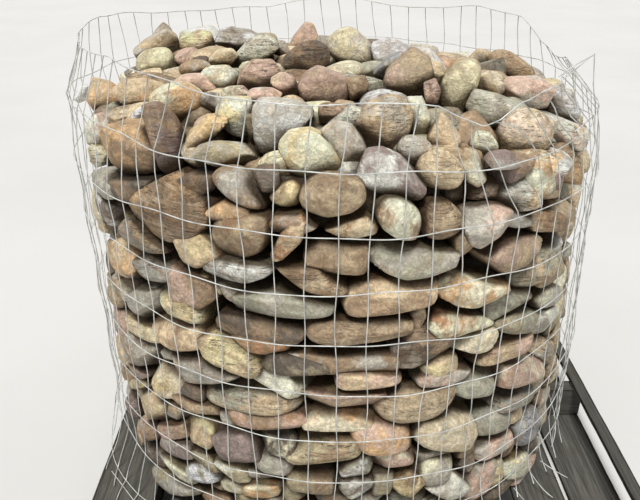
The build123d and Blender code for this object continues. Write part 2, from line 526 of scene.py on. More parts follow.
def timber_material():
    """Weathered sawn softwood: grey, streaked along the grain, split and knotty."""
    m = Look("weathered_timber_look")
    grain = m.attribute("grain")
    rings = m.noise(m.stretched(grain, (1.1, 26.0, 26.0)), 4.0, 6.0, 0.65, 0.9)
    fibre = m.noise(m.stretched(grain, (3.0, 190.0, 190.0)), 2.4, 4.0, 0.7)
    colour = m.mix(m.ramp(rings, 0.36, 0.66), linear((74, 73, 69)), m.attribute("tint", "Color"))
    colour = m.spotted(colour, fibre, 0.50, 0.34, 0.7, (52, 46, 40))
    colour = m.spotted(colour, m.noise(grain, 5.5, 4.0, 0.6), 0.50, 0.68, 0.7, (78, 72, 62))
    knots = m.cells(m.stretched(grain, (2.2, 9.0, 9.0)), 1.0)
    colour = m.spotted(colour, knots, 0.13, 0.07, 0.85, (60, 44, 32))
    return m.finish({"Base Color": colour, "Roughness": m.ramp(fibre, 0.3, 0.7, 0.72, 0.92),
                     "Specular IOR Level": 0.25,
                     "Normal": m.bump(rings, 0.0030, 0.6, m.bump(fibre, 0.0016, 0.9))})


def floor_material():
    """A plain pale floor with a faint unevenness."""
    m = Look("pale_floor")
    cloud = m.noise(m.new("TexCoord", "Object", {}), 0.8, 3.0)
    colour = m.mix(m.ramp(cloud, 0.3, 0.7), (0.70, 0.69, 0.67), (0.74, 0.73, 0.71))
    return m.finish({"Base Color": colour, "Roughness": 0.85})


STONE = stone_material()
STEEL = wire_material()
TIMBER = timber_material()


# ---------------------------------------------------------------- how the mesh is bent
# By wire column: millimetres out of round and raised, and cells shifted to the right, of the
# rim's hoop, the second hoop, the upper part below them and the foot.
RIM_OUT = (
    (-35, -8), (-30, 10), (-26, 0), (-22, 14), (-19, 0), (-17.7, -8), (-15, -32), (-13, -46),
    (-11, -50), (-9, -42), (-7, -32), (-5, -22), (-3.6, -12), (-2, -8), (0, -6), (2, 2), (4, 12),
    (5.5, 14), (7.2, -12), (9, -60), (11, -96), (13, -104), (15, -104), (17, -92), (20, -64),
    (22, -46), (24, -26), (28, 0), (35, -8),
)
RIM_UP = (
    (-35, 12), (-31, -14), (-26, -4), (-20, 14), (-17.7, 8), (-14, 10), (-11, 15), (-9, 19),
    (-7, 15), (-5, 9), (-3.6, 5), (-2, 2), (0, 0), (2.2, 0), (2.7, -4), (3.3, -22), (4.1, -41),
    (4.6, -34), (5.3, -8), (6.2, 2), (7.4, 2), (9, -14), (12, -30), (16, -34), (18, -50), (20, -58),
    (22, -46), (24, -8), (27, 0), (31, -12), (35, 12),
)
RIM_SHIFT = (
    (-35, 0), (-11, 0), (-9, .1), (-8, .25), (-6, .25), (-5, .36), (-4, .32), (-2, .13), (1, 0),
    (2, -.1), (3, -.62), (4, -1.1), (5, -1.5), (6, -2.4), (7, -2.67), (8, -2.9), (9, -2.9),
    (10, -2.4), (12, -1.2), (14, -.2), (16, 0), (35, 0),
)
SECOND_OUT = (
    (-35, 0), (-26, 6), (-20, 16), (-17.5, 24), (-15, 4), (-12, -14), (-10, -20), (-8, -18),
    (-6.5, -11), (-5, -5), (-3, -2), (2, 0), (4, 6), (5, 12), (7, 0), (9, -16), (12, -34),
    (15, -36), (20, -30), (24, -22), (28, 0), (35, 0),
)
SECOND_UP = (
    (-35, 0), (-14, 4), (-11, 10), (-9, 12), (-7, 9), (-5, 5), (-3, 2), (0, 0), (35, 0),
)
SECOND_SHIFT = (
    (-35, 0), (-11, 0), (-9, -.2), (-6, -.2), (-5, -.06), (-3, .04), (-2, .15), (0, 0), (2, 0),
    (3, -.09), (4, -.25), (5, -.8), (6, -1.17), (7, -.49), (8, -.55), (10, -.3), (12, 0), (35, 0),
)
UPPER_OUT = (
    (-35, 0), (7, 0), (11, -10), (14, -14), (20, -14), (24, 0), (35, 0),
)
FOOT_OUT = (
    (-35, 0), (-20, 4), (-15, 22), (-12, 34), (-9, 34), (-6, 16), (-3, 0), (35, 0),
)
FOOT_CUT = (5.5, 12.5)        # columns between which the lowest hoop is cut away
RIM_ASIDE = 0.20              # columns that the rim is shifted to the right
WAVES_OUT = 4.5               # how uneven the mesh is: millimetres out of round,
WAVES_UP = (3.2, 1.6)         # and up, in long and short waves,
WAVES_SIDE = (0.05, 0.035)    # and columns aside
TURN = 2 * math.pi / COLUMNS    # between columns


def along(table, k):
    """A value read from a table of columns."""
    columns, values = np.array(table, float).T
    return np.interp((np.asarray(k, float) + COLUMNS / 2) % COLUMNS - COLUMNS / 2, columns, values)


def rows(j):
    """How far a place belongs to the rim, the second hoop, the upper part and the foot."""
    return (np.clip(1 - j, 0, 1), np.clip(1 - np.abs(j - 1), 0, 1),
            np.clip(np.minimum(j - 1, (6 - j) / 3), 0, 1), np.clip(j - 8, 0, 1.2))


def mesh_out(k, j):
    """Millimetres that the mesh stands out of round at a place."""
    k, j = np.asarray(k, float), np.asarray(j, float)
    top, second, upper, foot = rows(j)
    out = along(RIM_OUT, k) * top + along(SECOND_OUT, k) * second
    out = out + along(UPPER_OUT, k) * upper + along(FOOT_OUT, k) * foot
    return out + WAVES_OUT * np.sin(10 * TURN * k + 2.3 * j) * np.sin(1.7 * j + 4 * TURN * k)


def wire_place(k, j):
    """Millimetres in the frame for a point of the mesh."""
    k, j = np.asarray(k, float), np.asarray(j, float)
    top, second = rows(j)[:2]
    side = (RIM_ASIDE * top + WAVES_SIDE[0] * np.sin(1.3 * j + 9 * TURN * k)
            + WAVES_SIDE[1] * np.sin(3.1 * j - 23 * TURN * k))
    side = side + along(RIM_SHIFT, k) * top + along(SECOND_SHIFT, k) * second
    at = k + side
    up = along(RIM_UP, at) * top + along(SECOND_UP, at) * second
    up = (up + WAVES_UP[0] * np.sin(6 * TURN * at + 1.9 * j)
          + WAVES_UP[1] * np.sin(21 * TURN * at - 2.6 * j))
    angle = (FIRST_COLUMN + at * CELL_WIDTH) / RADIUS
    reach = RADIUS + mesh_out(at, j)
    z = RIM_Z - j * CELL_HEIGHT + up * np.where(j > 8.5, 0.3, 1.0)
    z = np.maximum(z, DECK_Z + WIRE / 2 + 0.5)
    return np.stack([AXIS_X + reach * np.sin(angle), -reach * np.cos(angle), z], -1)


def inside_mesh(verts):
    """How far stone vertices about the axis reach past the inner side of the bent mesh."""
    k = (np.arctan2(verts[:, 0], -verts[:, 1]) * RADIUS - FIRST_COLUMN) / CELL_WIDTH
    j = np.clip((RIM_Z - verts[:, 2]) / CELL_HEIGHT, 0, 9)
    limit = WALL_RADIUS + np.minimum(mesh_out(k, j), 0)
    return float((np.hypot(verts[:, 0], verts[:, 1]) - limit).max())


# ---------------------------------------------------------------- the wall's stones
# Stones that the front shows: column, cells down, length, height, tilt (right end lower),
# tones and shape.
WALL_STONES = (
    (-2.35, 1.28, 40, 40, 0, "dark brown", "plain"),
    (-5.05, 2.63, 92, 75, -25, "tan yellow", "plain"),
    (-5.4, 3.43, 105, 77, 0, "brown pink", "plain"), (-4.7, 3.27, 60, 45, 0, "yellow tan", "plain"),
    (-3.8, 3.3, 54, 46, 0, "grey brown", "plain"),
    (-6.1, 3.75, 115, 80, 0, "cream yellow", "plain"),
    (-7.5, 3.35, 125, 55, -15, "grey brown", "slab"), (-7.5, 3.8, 50, 37, 0, "green grey", "plain"),
    (5.8, 1.15, 60, 30, 0, "purple grey", "plain"), (4.45, 2.45, 46, 50, 0, "brown", "plain"),
    (6.9, 2.28, 80, 30, 20, "grey white", "slab"), (2.95, 3.7, 35, 60, 0, "tan brown", "plain"),
    (6.9, 3.88, 120, 50, 0, "green dark", "slab"), (3.3, 4.2, 115, 68, 0, "dark brown", "plain"),
    (1.2, 4.88, 115, 38, 0, "tan pink", "slab"), (2.9, 4.4, 90, 60, 0, "dark grey", "plain"),
    (3.9, 4.72, 70, 55, 0, "tan yellow", "plain"), (5.3, 4.45, 100, 52, 0, "cream sand", "plain"),
    (7.4, 4.42, 130, 52, 20, "green olive", "slab"), (7.2, 4.9, 145, 48, 7, "tan pink", "slab"),
    (4.1, 5.05, 100, 45, 0, "grey pink", "slab"), (.35, 5.35, 168, 43, 0, "sand pink", "angular"),
    (.15, 5.82, 132, 56, 0, "cream orange", "angular"),
    (3.18, 5.55, 158, 79, 0, "tan sand", "round"), (5.6, 5.45, 110, 55, 10, "green grey", "slab"),
    (8.7, 5.75, 170, 58, 18, "pink cream", "slab"),
    (1.75, 6.22, 113, 88, 0, "pink orange", "round"), (2.3, 6.68, 79, 67, 0, "pink cream", "plain"),
    (4.5, 6.4, 146, 75, 22, "cream sand", "slab"), (.8, 6.9, 70, 50, -25, "green white", "plain"),
    (-.55, 6.5, 150, 73, 0, "olive brown", "plain"),
    (.85, 7.35, 65, 55, -35, "grey white", "plain"), (1.95, 7.4, 45, 60, 0, "olive grey", "slab"),
    (3.0, 7.45, 75, 55, 45, "yellow brown", "plain"), (4.25, 7.3, 83, 85, 0, "grey cream", "round"),
    (4.1, 6.85, 80, 35, 0, "dark grey", "slab"), (5.6, 7.05, 45, 30, 0, "brown", "plain"),
    (5.85, 7.48, 55, 55, 35, "dark brown", "angular"),
    (5.0, 7.9, 110, 60, 50, "grey cream", "slab"), (7.1, 6.65, 115, 65, 20, "green grey", "round"),
    (8.4, 6.4, 150, 50, 15, "green grey", "slab"), (7.3, 7.3, 115, 63, 0, "pink grey", "plain"),
    (6.5, 8.0, 80, 90, 0, "pink grey", "angular"), (7.6, 8.1, 50, 70, 0, "yellow olive", "plain"),
    (-6.5, 4.57, 154, 75, -20, "tan brown", "plain"),
    (-4.0, 4.53, 120, 80, 0, "yellow tan", "angular"),
    (-2.9, 4.25, 115, 38, 0, "brown rust", "slab"),
    (-1.45, 4.65, 130, 55, 10, "olive dark", "slab"),
    (-2.1, 5.02, 110, 60, 8, "cream grey", "plain"), (-5.3, 5.12, 165, 60, -15, "grey tan", "slab"),
    (-7.3, 5.22, 50, 40, 0, "green grey", "plain"), (-3.4, 5.5, 190, 75, 0, "green tan", "round"),
    (-2.7, 5.85, 160, 55, 0, "brown pink", "slab"), (-4.3, 6.1, 45, 40, 0, "grey pale", "plain"),
    (-7.4, 5.82, 115, 78, -20, "cream yellow", "plain"),
    (-5.9, 5.7, 65, 55, 0, "dark brown", "plain"), (-5.9, 6.08, 115, 38, -10, "tan brown", "slab"),
    (-7.2, 6.47, 70, 50, 0, "grey tan", "plain"), (-5.75, 6.65, 81, 80, 0, "yellow tan", "angular"),
    (-4.0, 6.67, 100, 95, -35, "purple dark", "angular"),
    (-2.3, 6.45, 75, 58, 0, "dark cream", "plain"), (-2.6, 6.98, 85, 68, 0, "grey green", "round"),
    (-1.0, 7.3, 95, 55, 0, "olive brown", "plain"), (-7.5, 7.08, 110, 42, -30, "pink tan", "slab"),
    (-7.6, 7.53, 130, 50, -12, "purple grey", "slab"),
    (-5.7, 7.4, 75, 50, 0, "olive grey", "plain"),
    (-4.4, 7.45, 92, 60, -20, "cream olive", "plain"),
    (-6.1, 7.85, 100, 60, -25, "pale green", "round"), (-3.3, 7.4, 80, 40, 0, "dark grey", "slab"),
    (-3.1, 7.75, 80, 45, 0, "orange cream", "plain"), (-11, 2.25, 105, 40, 0, "grey green", "slab"),
    (-11.1, 2.7, 90, 55, 0, "cream dark", "plain"),
    (-9.6, 3.5, 130, 85, -15, "tan orange", "plain"),
    (-8.3, 4.2, 150, 75, -35, "grey green", "plain"),
    (-10.6, 4.35, 100, 60, 0, "tan grey", "plain"), (-8.9, 4.95, 150, 45, -12, "sand tan", "slab"),
    (-9.4, 5.55, 150, 75, -20, "grey brown", "slab"),
    (-9.9, 6.2, 110, 35, -15, "purple brown", "slab"),
    (-10.2, 6.7, 120, 40, -35, "yellow olive", "slab"),
    (-8.7, 6.8, 130, 75, -30, "olive tan", "plain"),
    (-9.8, 7.75, 110, 60, -35, "pink tan", "plain"), (-9.3, 8.3, 130, 45, -10, "dark grey", "slab"),
    (-7.4, 8.15, 130, 35, 0, "grey cream", "slab"), (-8.0, 8.72, 150, 60, 0, "olive grey", "plain"),
    (7.6, 1.6, 85, 90, 0, "cream orange", "plain"), (8.6, 1.75, 60, 70, 0, "tan purple", "angular"),
    (9.4, 1.6, 50, 70, 0, "brown tan", "plain"), (10.4, 1.8, 95, 45, 25, "orange tan", "slab"),
    (8.7, 2.55, 130, 40, 18, "brown tan", "slab"), (10.2, 2.6, 95, 45, 20, "tan sand", "slab"),
    (9.6, 3.7, 130, 70, 18, "olive brown", "plain"), (10.2, 3.3, 65, 35, 0, "pale green", "slab"),
    (10.2, 4.35, 120, 50, 15, "grey cream", "slab"), (10.1, 4.9, 100, 60, 20, "pale grey", "plain"),
    (10.7, 5.8, 110, 50, 35, "tan grey", "slab"), (9.9, 7.55, 125, 75, 10, "blue grey", "plain"),
    (8.3, 7.65, 50, 35, 0, "dark brown", "plain"), (9.2, 8.4, 130, 75, 30, "cream yellow", "plain"),
    (10.7, 8.35, 120, 60, 30, "dark grey", "slab"), (10.2, 8.9, 110, 45, 0, "pink grey", "slab"),
    (8.0, 8.7, 100, 35, 0, "dark olive", "slab"),
)
# The wall's most striking stones: tones, shape, and the corners of the outline as the eye sees
# them, in pixels of the image.
WALL_OUTLINES = {
    "brown_loaf": ("tan brown", "plain", ((300, 198), (306, 186), (320, 178), (340, 177),
        (362, 184), (365, 200), (352, 212), (328, 217), (306, 210))),
    "brown_square": ("brown tan", "plain", ((304, 250), (312, 240), (366, 241), (369, 258),
        (364, 276), (340, 278), (316, 275), (305, 264))),
    "green_wedge": ("green grey", "angular", ((370, 246), (384, 239), (430, 243), (459, 250),
        (456, 266), (430, 279), (404, 283), (388, 277), (372, 264))),
    "cream_bean": ("sand cream", "plain", ((326, 230), (346, 216), (366, 213), (377, 226),
        (374, 235), (340, 238))),
    "rust_blade": ("rust tan", "angular", ((272, 254), (282, 232), (300, 211), (308, 218),
        (302, 240), (286, 257), (276, 260))),
    "grey_behind": ("grey brown", "plain", ((270, 222), (277, 210), (302, 210), (317, 226),
        (300, 236), (272, 234))),
    "dark_dome": ("cream brown", "plain", ((377, 212), (388, 198), (402, 198), (418, 210),
        (421, 224), (414, 240), (398, 240), (382, 228))),
    "tan_ball": ("tan brown", "round", ((423, 224), (432, 204), (452, 200), (464, 214), (461, 236),
        (442, 243), (425, 238))),
    "grey_pink": ("grey pink", "plain", ((465, 228), (474, 211), (498, 204), (513, 208), (512, 222),
        (496, 240), (484, 252), (470, 246))),
    "brown_long": ("brown tan", "plain", ((345, 300), (352, 284), (380, 275), (436, 280),
        (438, 294), (430, 309), (400, 312), (372, 319), (350, 318))),
    "tan_arc": ("tan brown", "plain", ((276, 266), (284, 259), (302, 266), (318, 279), (348, 280),
        (347, 293), (330, 300), (308, 296), (288, 282))),
    "yellow_nut": ("yellow brown", "round", ((271, 195), (278, 185), (292, 181), (302, 189),
        (300, 203), (290, 207), (277, 203))),
    "cream_brick": ("cream orange", "angular", ((441, 288), (452, 275), (505, 281), (508, 298),
        (496, 310), (458, 309), (444, 299))),
    "pink_heart": ("tan pink", "plain", ((491, 254), (502, 240), (520, 233), (538, 234), (541, 246),
        (518, 262), (506, 277), (495, 266))),
    "green_right": ("green sand", "round", ((509, 274), (528, 252), (552, 241), (564, 250),
        (556, 276), (536, 292), (514, 291))),
    "cream_rust": ("cream rust", "angular", ((428, 326), (436, 311), (450, 308), (478, 312),
        (493, 322), (490, 336), (462, 343), (436, 338))),
    "brown_bar": ("tan brown", "plain", ((308, 326), (318, 316), (392, 314), (412, 318), (411, 336),
        (380, 345), (330, 346), (312, 341))),
    "brown_boulder": ("brown orange", "angular", ((127, 206), (138, 190), (163, 174), (184, 184),
        (203, 206), (209, 222), (196, 238), (176, 244), (148, 236), (130, 222))),
    "tan_barrel": ("brown tan", "plain", ((212, 226), (222, 212), (252, 209), (269, 218),
        (270, 236), (262, 254), (240, 263), (218, 257))),
    "pale_plate": ("grey white", "slab", ((205, 264), (216, 252), (250, 256), (272, 262),
        (272, 273), (250, 284), (224, 285), (209, 278))),
    "left_block": ("brown orange", "angular", ((95, 146), (103, 122), (132, 124), (152, 150),
        (149, 174), (118, 178), (97, 170))),
    "left_dark": ("dark brown", "plain", ((97, 180), (118, 174), (150, 174), (150, 192), (132, 203),
        (106, 201))),
    "left_pale": ("pale pink", "plain", ((75, 130), (84, 114), (96, 112), (100, 126), (92, 142),
        (79, 144))),
    "left_cream": ("sand cream", "plain", ((80, 150), (88, 140), (100, 145), (98, 164), (86, 168))),
    "brown_slide": ("brown grey", "round", ((212, 176), (220, 169), (238, 176), (258, 196),
        (264, 212), (248, 210), (220, 190))),
    "dark_step": ("brown dark", "plain", ((176, 182), (188, 173), (212, 174), (214, 190),
        (200, 200), (184, 196))),
    "brown_cap": ("brown orange", "plain", ((208, 210), (226, 197), (248, 204), (252, 214),
        (222, 220), (210, 220))),
    "tan_foot": ("tan grey", "plain", ((121, 226), (130, 215), (144, 228), (166, 240), (170, 254),
        (148, 256), (126, 244))),
    "dark_left": ("dark brown", "plain", ((103, 208), (112, 203), (127, 205), (128, 224),
        (118, 233), (104, 228))),
    "cream_edge": ("cream tan", "plain", ((86, 184), (98, 186), (110, 204), (106, 222), (93, 214))),
    "grey_shelf": ("green grey", "slab", ((231, 300), (242, 288), (270, 284), (300, 290),
        (334, 304), (330, 316), (290, 320), (240, 318))),
    "brown_shelf": ("brown dark", "slab", ((218, 314), (226, 306), (262, 312), (304, 324),
        (306, 334), (296, 345), (252, 340), (222, 330))),
    "brown_tray": ("brown grey", "slab", ((287, 350), (296, 346), (340, 348), (397, 346),
        (399, 362), (392, 378), (340, 377), (300, 368))),
}
OUTLINE_DEPTH = 22.0   # how far inside its outer face a stone is widest
LARGE_PX = 1700        # an outlined stone's box from which it lies against the wire
MOST_TURNED = math.radians(52)  # how far a stone's face may be turned from the eye
LEAST_AWAY = 0.45      # how far along its line of sight inwards must lie for a stone to follow it
SHARE_SEEN = 1.055     # a stone is a little larger than what its neighbours leave to see
WALL_PAINTED_SHADE = 0.94           # painted shade: the wall's stones are made darker, as less light from above falls on the upright wall
HEAP_PAINTED_LIGHT = 1.07          # painted light: the heap's stones are made brighter, as the light from above falls full on them
LYING = 1.45           # most cobbles lie flat: length over height
MOST_DEEP = 125        # the most depth of a wall's stone
SMALL_FACE, LARGE_FACE = 3500, 8000   # square millimetres, for how deep a listed stone lies
WALL_FILLERS = (28, 0.30, 15, 46)     # radius of packed stones, its spread, and least and most
LEAST_FILLER = 17      # what is left smaller than this is no stone
SHOULDER_Z, SHOULDER_ARC, SHOULDER_RECESS = 790, 640, 22   # they lie deeper at the front's top


def wall_frame(arc):
    """Outward and rightward at an arc length from the front."""
    c, s = math.cos(arc / RADIUS), math.sin(arc / RADIUS)
    return np.array([s, -c, 0.0]), np.array([c, s, 0.0])


def from_others(x, z, others_x, others_z, span):
    """Ways and distances between discs on a strip that runs round."""
    dx = x[:, None] - others_x[None, :]
    dx -= span * np.round(dx / span)
    dz = z[:, None] - others_z[None, :]
    return dx, dz, np.sqrt(dx * dx + dz * dz)


def pack(x, z, radius, fixed, span, low, high, rounds):
    """Pushes discs apart until they fill a strip that runs round; fixed ones stay."""
    free = ~fixed
    share = np.where(fixed[None, :], 0.9, 0.45)
    for _ in range(rounds):
        dx, dz, gap = from_others(x, z, x, z, span)
        gap += 1e-6
        over = np.clip(radius[:, None] + radius[None, :] - gap, 0, None)
        np.fill_diagonal(over, 0)
        push = over * share / gap
        x += np.where(fixed, 0, (dx * push).sum(1)) * 0.8
        z += np.where(fixed, 0, (dz * push).sum(1)) * 0.8
        z[free] = np.clip(z[free], low + radius[free] * 0.9, high - radius[free] * 0.9)
    return x, z


def filler(usual, spread, least, most):
    """The radius of a packed stone."""
    return float(np.clip(rng.lognormal(math.log(usual), spread), least, most))


def random_shape(*shares):
    """A shape's name, by the shares of the four."""
    return str(rng.choice(["round", "plain", "slab", "angular"], p=shares))


def lower_seen(height, depth, slope, least):
    """The height of a stone that shows so high from above, where its depth shows too."""
    return math.sqrt(max(height ** 2 - (depth * slope) ** 2, (height * least) ** 2))


piles = [Pile() for _ in COURSE_TOPS]


def eye_ray(px, py):
    """The direction from the eye through a place in the image."""
    return np.array(EYE_TURN.to_matrix() @ Vector(((px - IMAGE_WIDTH / 2) / FOCAL_PX,
                                                   (IMAGE_HEIGHT / 2 - py) / FOCAL_PX, -1)))


def on_wall(px, py, recess):
    """Where the line from the eye through a place in the image meets the stones' middles."""
    line = eye_ray(px, py)
    a = line[0] ** 2 + line[1] ** 2
    b = EYE[0] * line[0] + EYE[1] * line[1]
    c = EYE[0] ** 2 + EYE[1] ** 2 - (WALL_RADIUS - OUTLINE_DEPTH - recess) ** 2
    return EYE + (-b - math.sqrt(max(b * b - a * c, 0))) / a * line


def facing(place, wall=False):
    """Right, away and up at a place, as seen from the eye or, on the wall, by its face."""
    turn = math.atan2(place[1] - EYE[1], place[0] - EYE[0])
    if wall:
        inward = math.atan2(-place[1], -place[0])
        apart = (inward - turn + math.pi) % (2 * math.pi) - math.pi
        turn += float(np.clip(apart, -MOST_TURNED, MOST_TURNED))
    away = np.array([math.cos(turn), math.sin(turn), 0.0])
    return np.array([away[1], -away[0], 0.0]), away, UP


def outlined(place, corners, wall=False):
    """Middle and sides of a stone whose outline has its corners at places in the image.

    The corners come back from -1 to 1 in the outline's box."""
    right, away, up = facing(place, wall)
    points = []
    for px, py in corners:
        line = eye_ray(px, py)
        point = EYE + line * ((place - EYE) @ away) / (line @ away) - place
        points.append((point @ right, point @ up))
    points = np.array(points)
    low, high = points.min(0), points.max(0)
    middle, sides = (low + high) / 2, high - low
    corners = ((points - middle) / sides * 2).tolist()
    return place + right * middle[0] + up * middle[1], sides, corners


def move_inside(verts, place, outward, over):
    """Moves an outlined stone along its line of sight, where that leads inwards, by over(verts)."""
    line = place - EYE
    line /= np.linalg.norm(line[:2])
    away = float(line @ outward)
    step = -line / away if abs(away) > LEAST_AWAY else -outward
    for _ in range(3):
        verts += step * over(verts)


def wall_stone(arc, z, length, height, tilt, words, shape, seed, recess, rich, corners=None):
    """A cobble against the wire, its outer face recess millimetres inside."""
    outward, right = wall_frame(arc)
    r = np.random.default_rng(seed + 5)
    depth = min(max((length + height) / 2 * r.uniform(0.85, 1.15), height * 0.8), MOST_DEEP)
    if corners:
        slope = (EYE[2] - z) / (-EYE[1] - RADIUS * math.cos(arc / RADIUS))
        depth = min(depth, max(height * 0.75 / slope, 48))
        height = lower_seen(height, depth, slope, 0.74)
    centre = outward * (WALL_RADIUS - recess - depth / 2) + UP * z
    pile = next(pile for pile, top in zip(piles, COURSE_TOPS) if z < top)
    # dim makes the wall's stones darker: painted shade
    verts = lay_stone(pile, centre, facing(centre, True) if corners else (right, -outward, UP),
                      (length, depth, height), tilt, shape, words, seed, rich, dim=WALL_PAINTED_SHADE,
                      corners=corners)
    if corners:
        move_inside(verts, centre, outward, lambda v: inside_mesh(v) + recess)
    else:
        verts -= outward * (inside_mesh(verts) + recess)
    verts[:, 2] += max(DECK_Z + 0.5 - verts[:, 2].min(), 0)
    verts[:, 0] += AXIS_X


def make_wall():
    """The listed stones of the front, and packed ones everywhere else."""
    span = 2 * math.pi * RADIUS
    seen, discs = [], []
    for words, shape, corners in WALL_OUTLINES.values():
        area = np.prod(np.ptp(corners, axis=0))
        recess = 0 if area > LARGE_PX else 7 if area > LARGE_PX / 2 else 17
        recess += 10 if "dark" in words or "brown grey" in words else 0
        place, sides, corners = outlined(on_wall(*np.mean(corners, axis=0), recess), corners, True)
        seen.append((math.atan2(place[0], -place[1]) * RADIUS, place[2], *sides, 0, words, shape,
                     recess, corners))
    for k, j, length, height, tilt, words, shape in WALL_STONES:
        recess = 18 if length * height < SMALL_FACE else 0 if length * height > LARGE_FACE else 8
        seen.append((FIRST_COLUMN + k * CELL_WIDTH, RIM_Z - j * CELL_HEIGHT, length, height, tilt,
                     words, shape, recess, None))
    for index, (arc, at, length, height, tilt, words, shape, recess, corners) in enumerate(seen):
        wall_stone(arc, at, length * SHARE_SEEN, height * SHARE_SEEN, tilt, words, shape,
                   1000 + 13 * index, recess, True, corners)
        parts = max(1, round(length / height / LYING))
        for part in range(parts):
            offset = (part - (parts - 1) / 2) * length / parts
            discs.append(((arc + offset) / LYING, at - math.sin(math.radians(tilt)) * offset,
                          math.sqrt(length / parts * height / LYING) / 2))
    hand = len(discs)
    area = sum(math.pi * r * r for x, z, r in discs)
    while area < span / LYING * (WALL_TOP_Z - DECK_Z) * 0.97:
        r = filler(*WALL_FILLERS)
        discs.append((rng.uniform(0, span / LYING), rng.uniform(DECK_Z, WALL_TOP_Z), r))
        area += math.pi * r * r
    x, z, radius = map(np.array, zip(*discs))
    fixed = np.arange(len(x)) < hand
    x, z = pack(x, z, radius, fixed, span / LYING, DECK_Z, WALL_TOP_Z, 240)
    gaps = from_others(x[hand:], z[hand:], x[:hand], z[:hand], span / LYING)[2]
    for index, room in enumerate((gaps - radius[None, :hand]).min(1), hand):
        crowded = 16 if room < radius[index] else 10 if room < radius[index] * 1.5 else 0
        r = min(radius[index], room * 1.12)
        if r < LEAST_FILLER:
            continue
        stretch = float(rng.uniform(1.15, 1.8))
        shape = random_shape(.24, .36, .24, .16)
        recess = float(rng.uniform(6, 22)) + (8 if r * 2 < 45 else 0) + crowded
        arc = (x[index] * LYING + span / 2) % span - span / 2
        recess += SHOULDER_RECESS if z[index] > SHOULDER_Z and abs(arc) < SHOULDER_ARC else 0
        wall_stone(x[index] * LYING, z[index], r * 2 * math.sqrt(LYING * stretch),
                   r * 2 * math.sqrt(LYING / stretch), float(rng.normal(0, 11)), "", shape,
                   40000 + 17 * index, recess, False)


make_wall()


# ---------------------------------------------------------------- the heap's stones
# As the front shows them on the upright plane through the axis: right of it, above the
# rim, width, height, tilt, tones and shape.
HEAP_STONES = (
    (-130, -28, 38, 32, 0, "grey pink", "plain"), (-10, -168, 74, 44, 0, "pink brown", "plain"),
    (-232, -124, 60, 30, 0, "cream pink", "plain"), (-165, -130, 76, 34, 0, "pink cream", "plain"),
    (-287, -142, 46, 38, 0, "grey dark", "angular"),
)
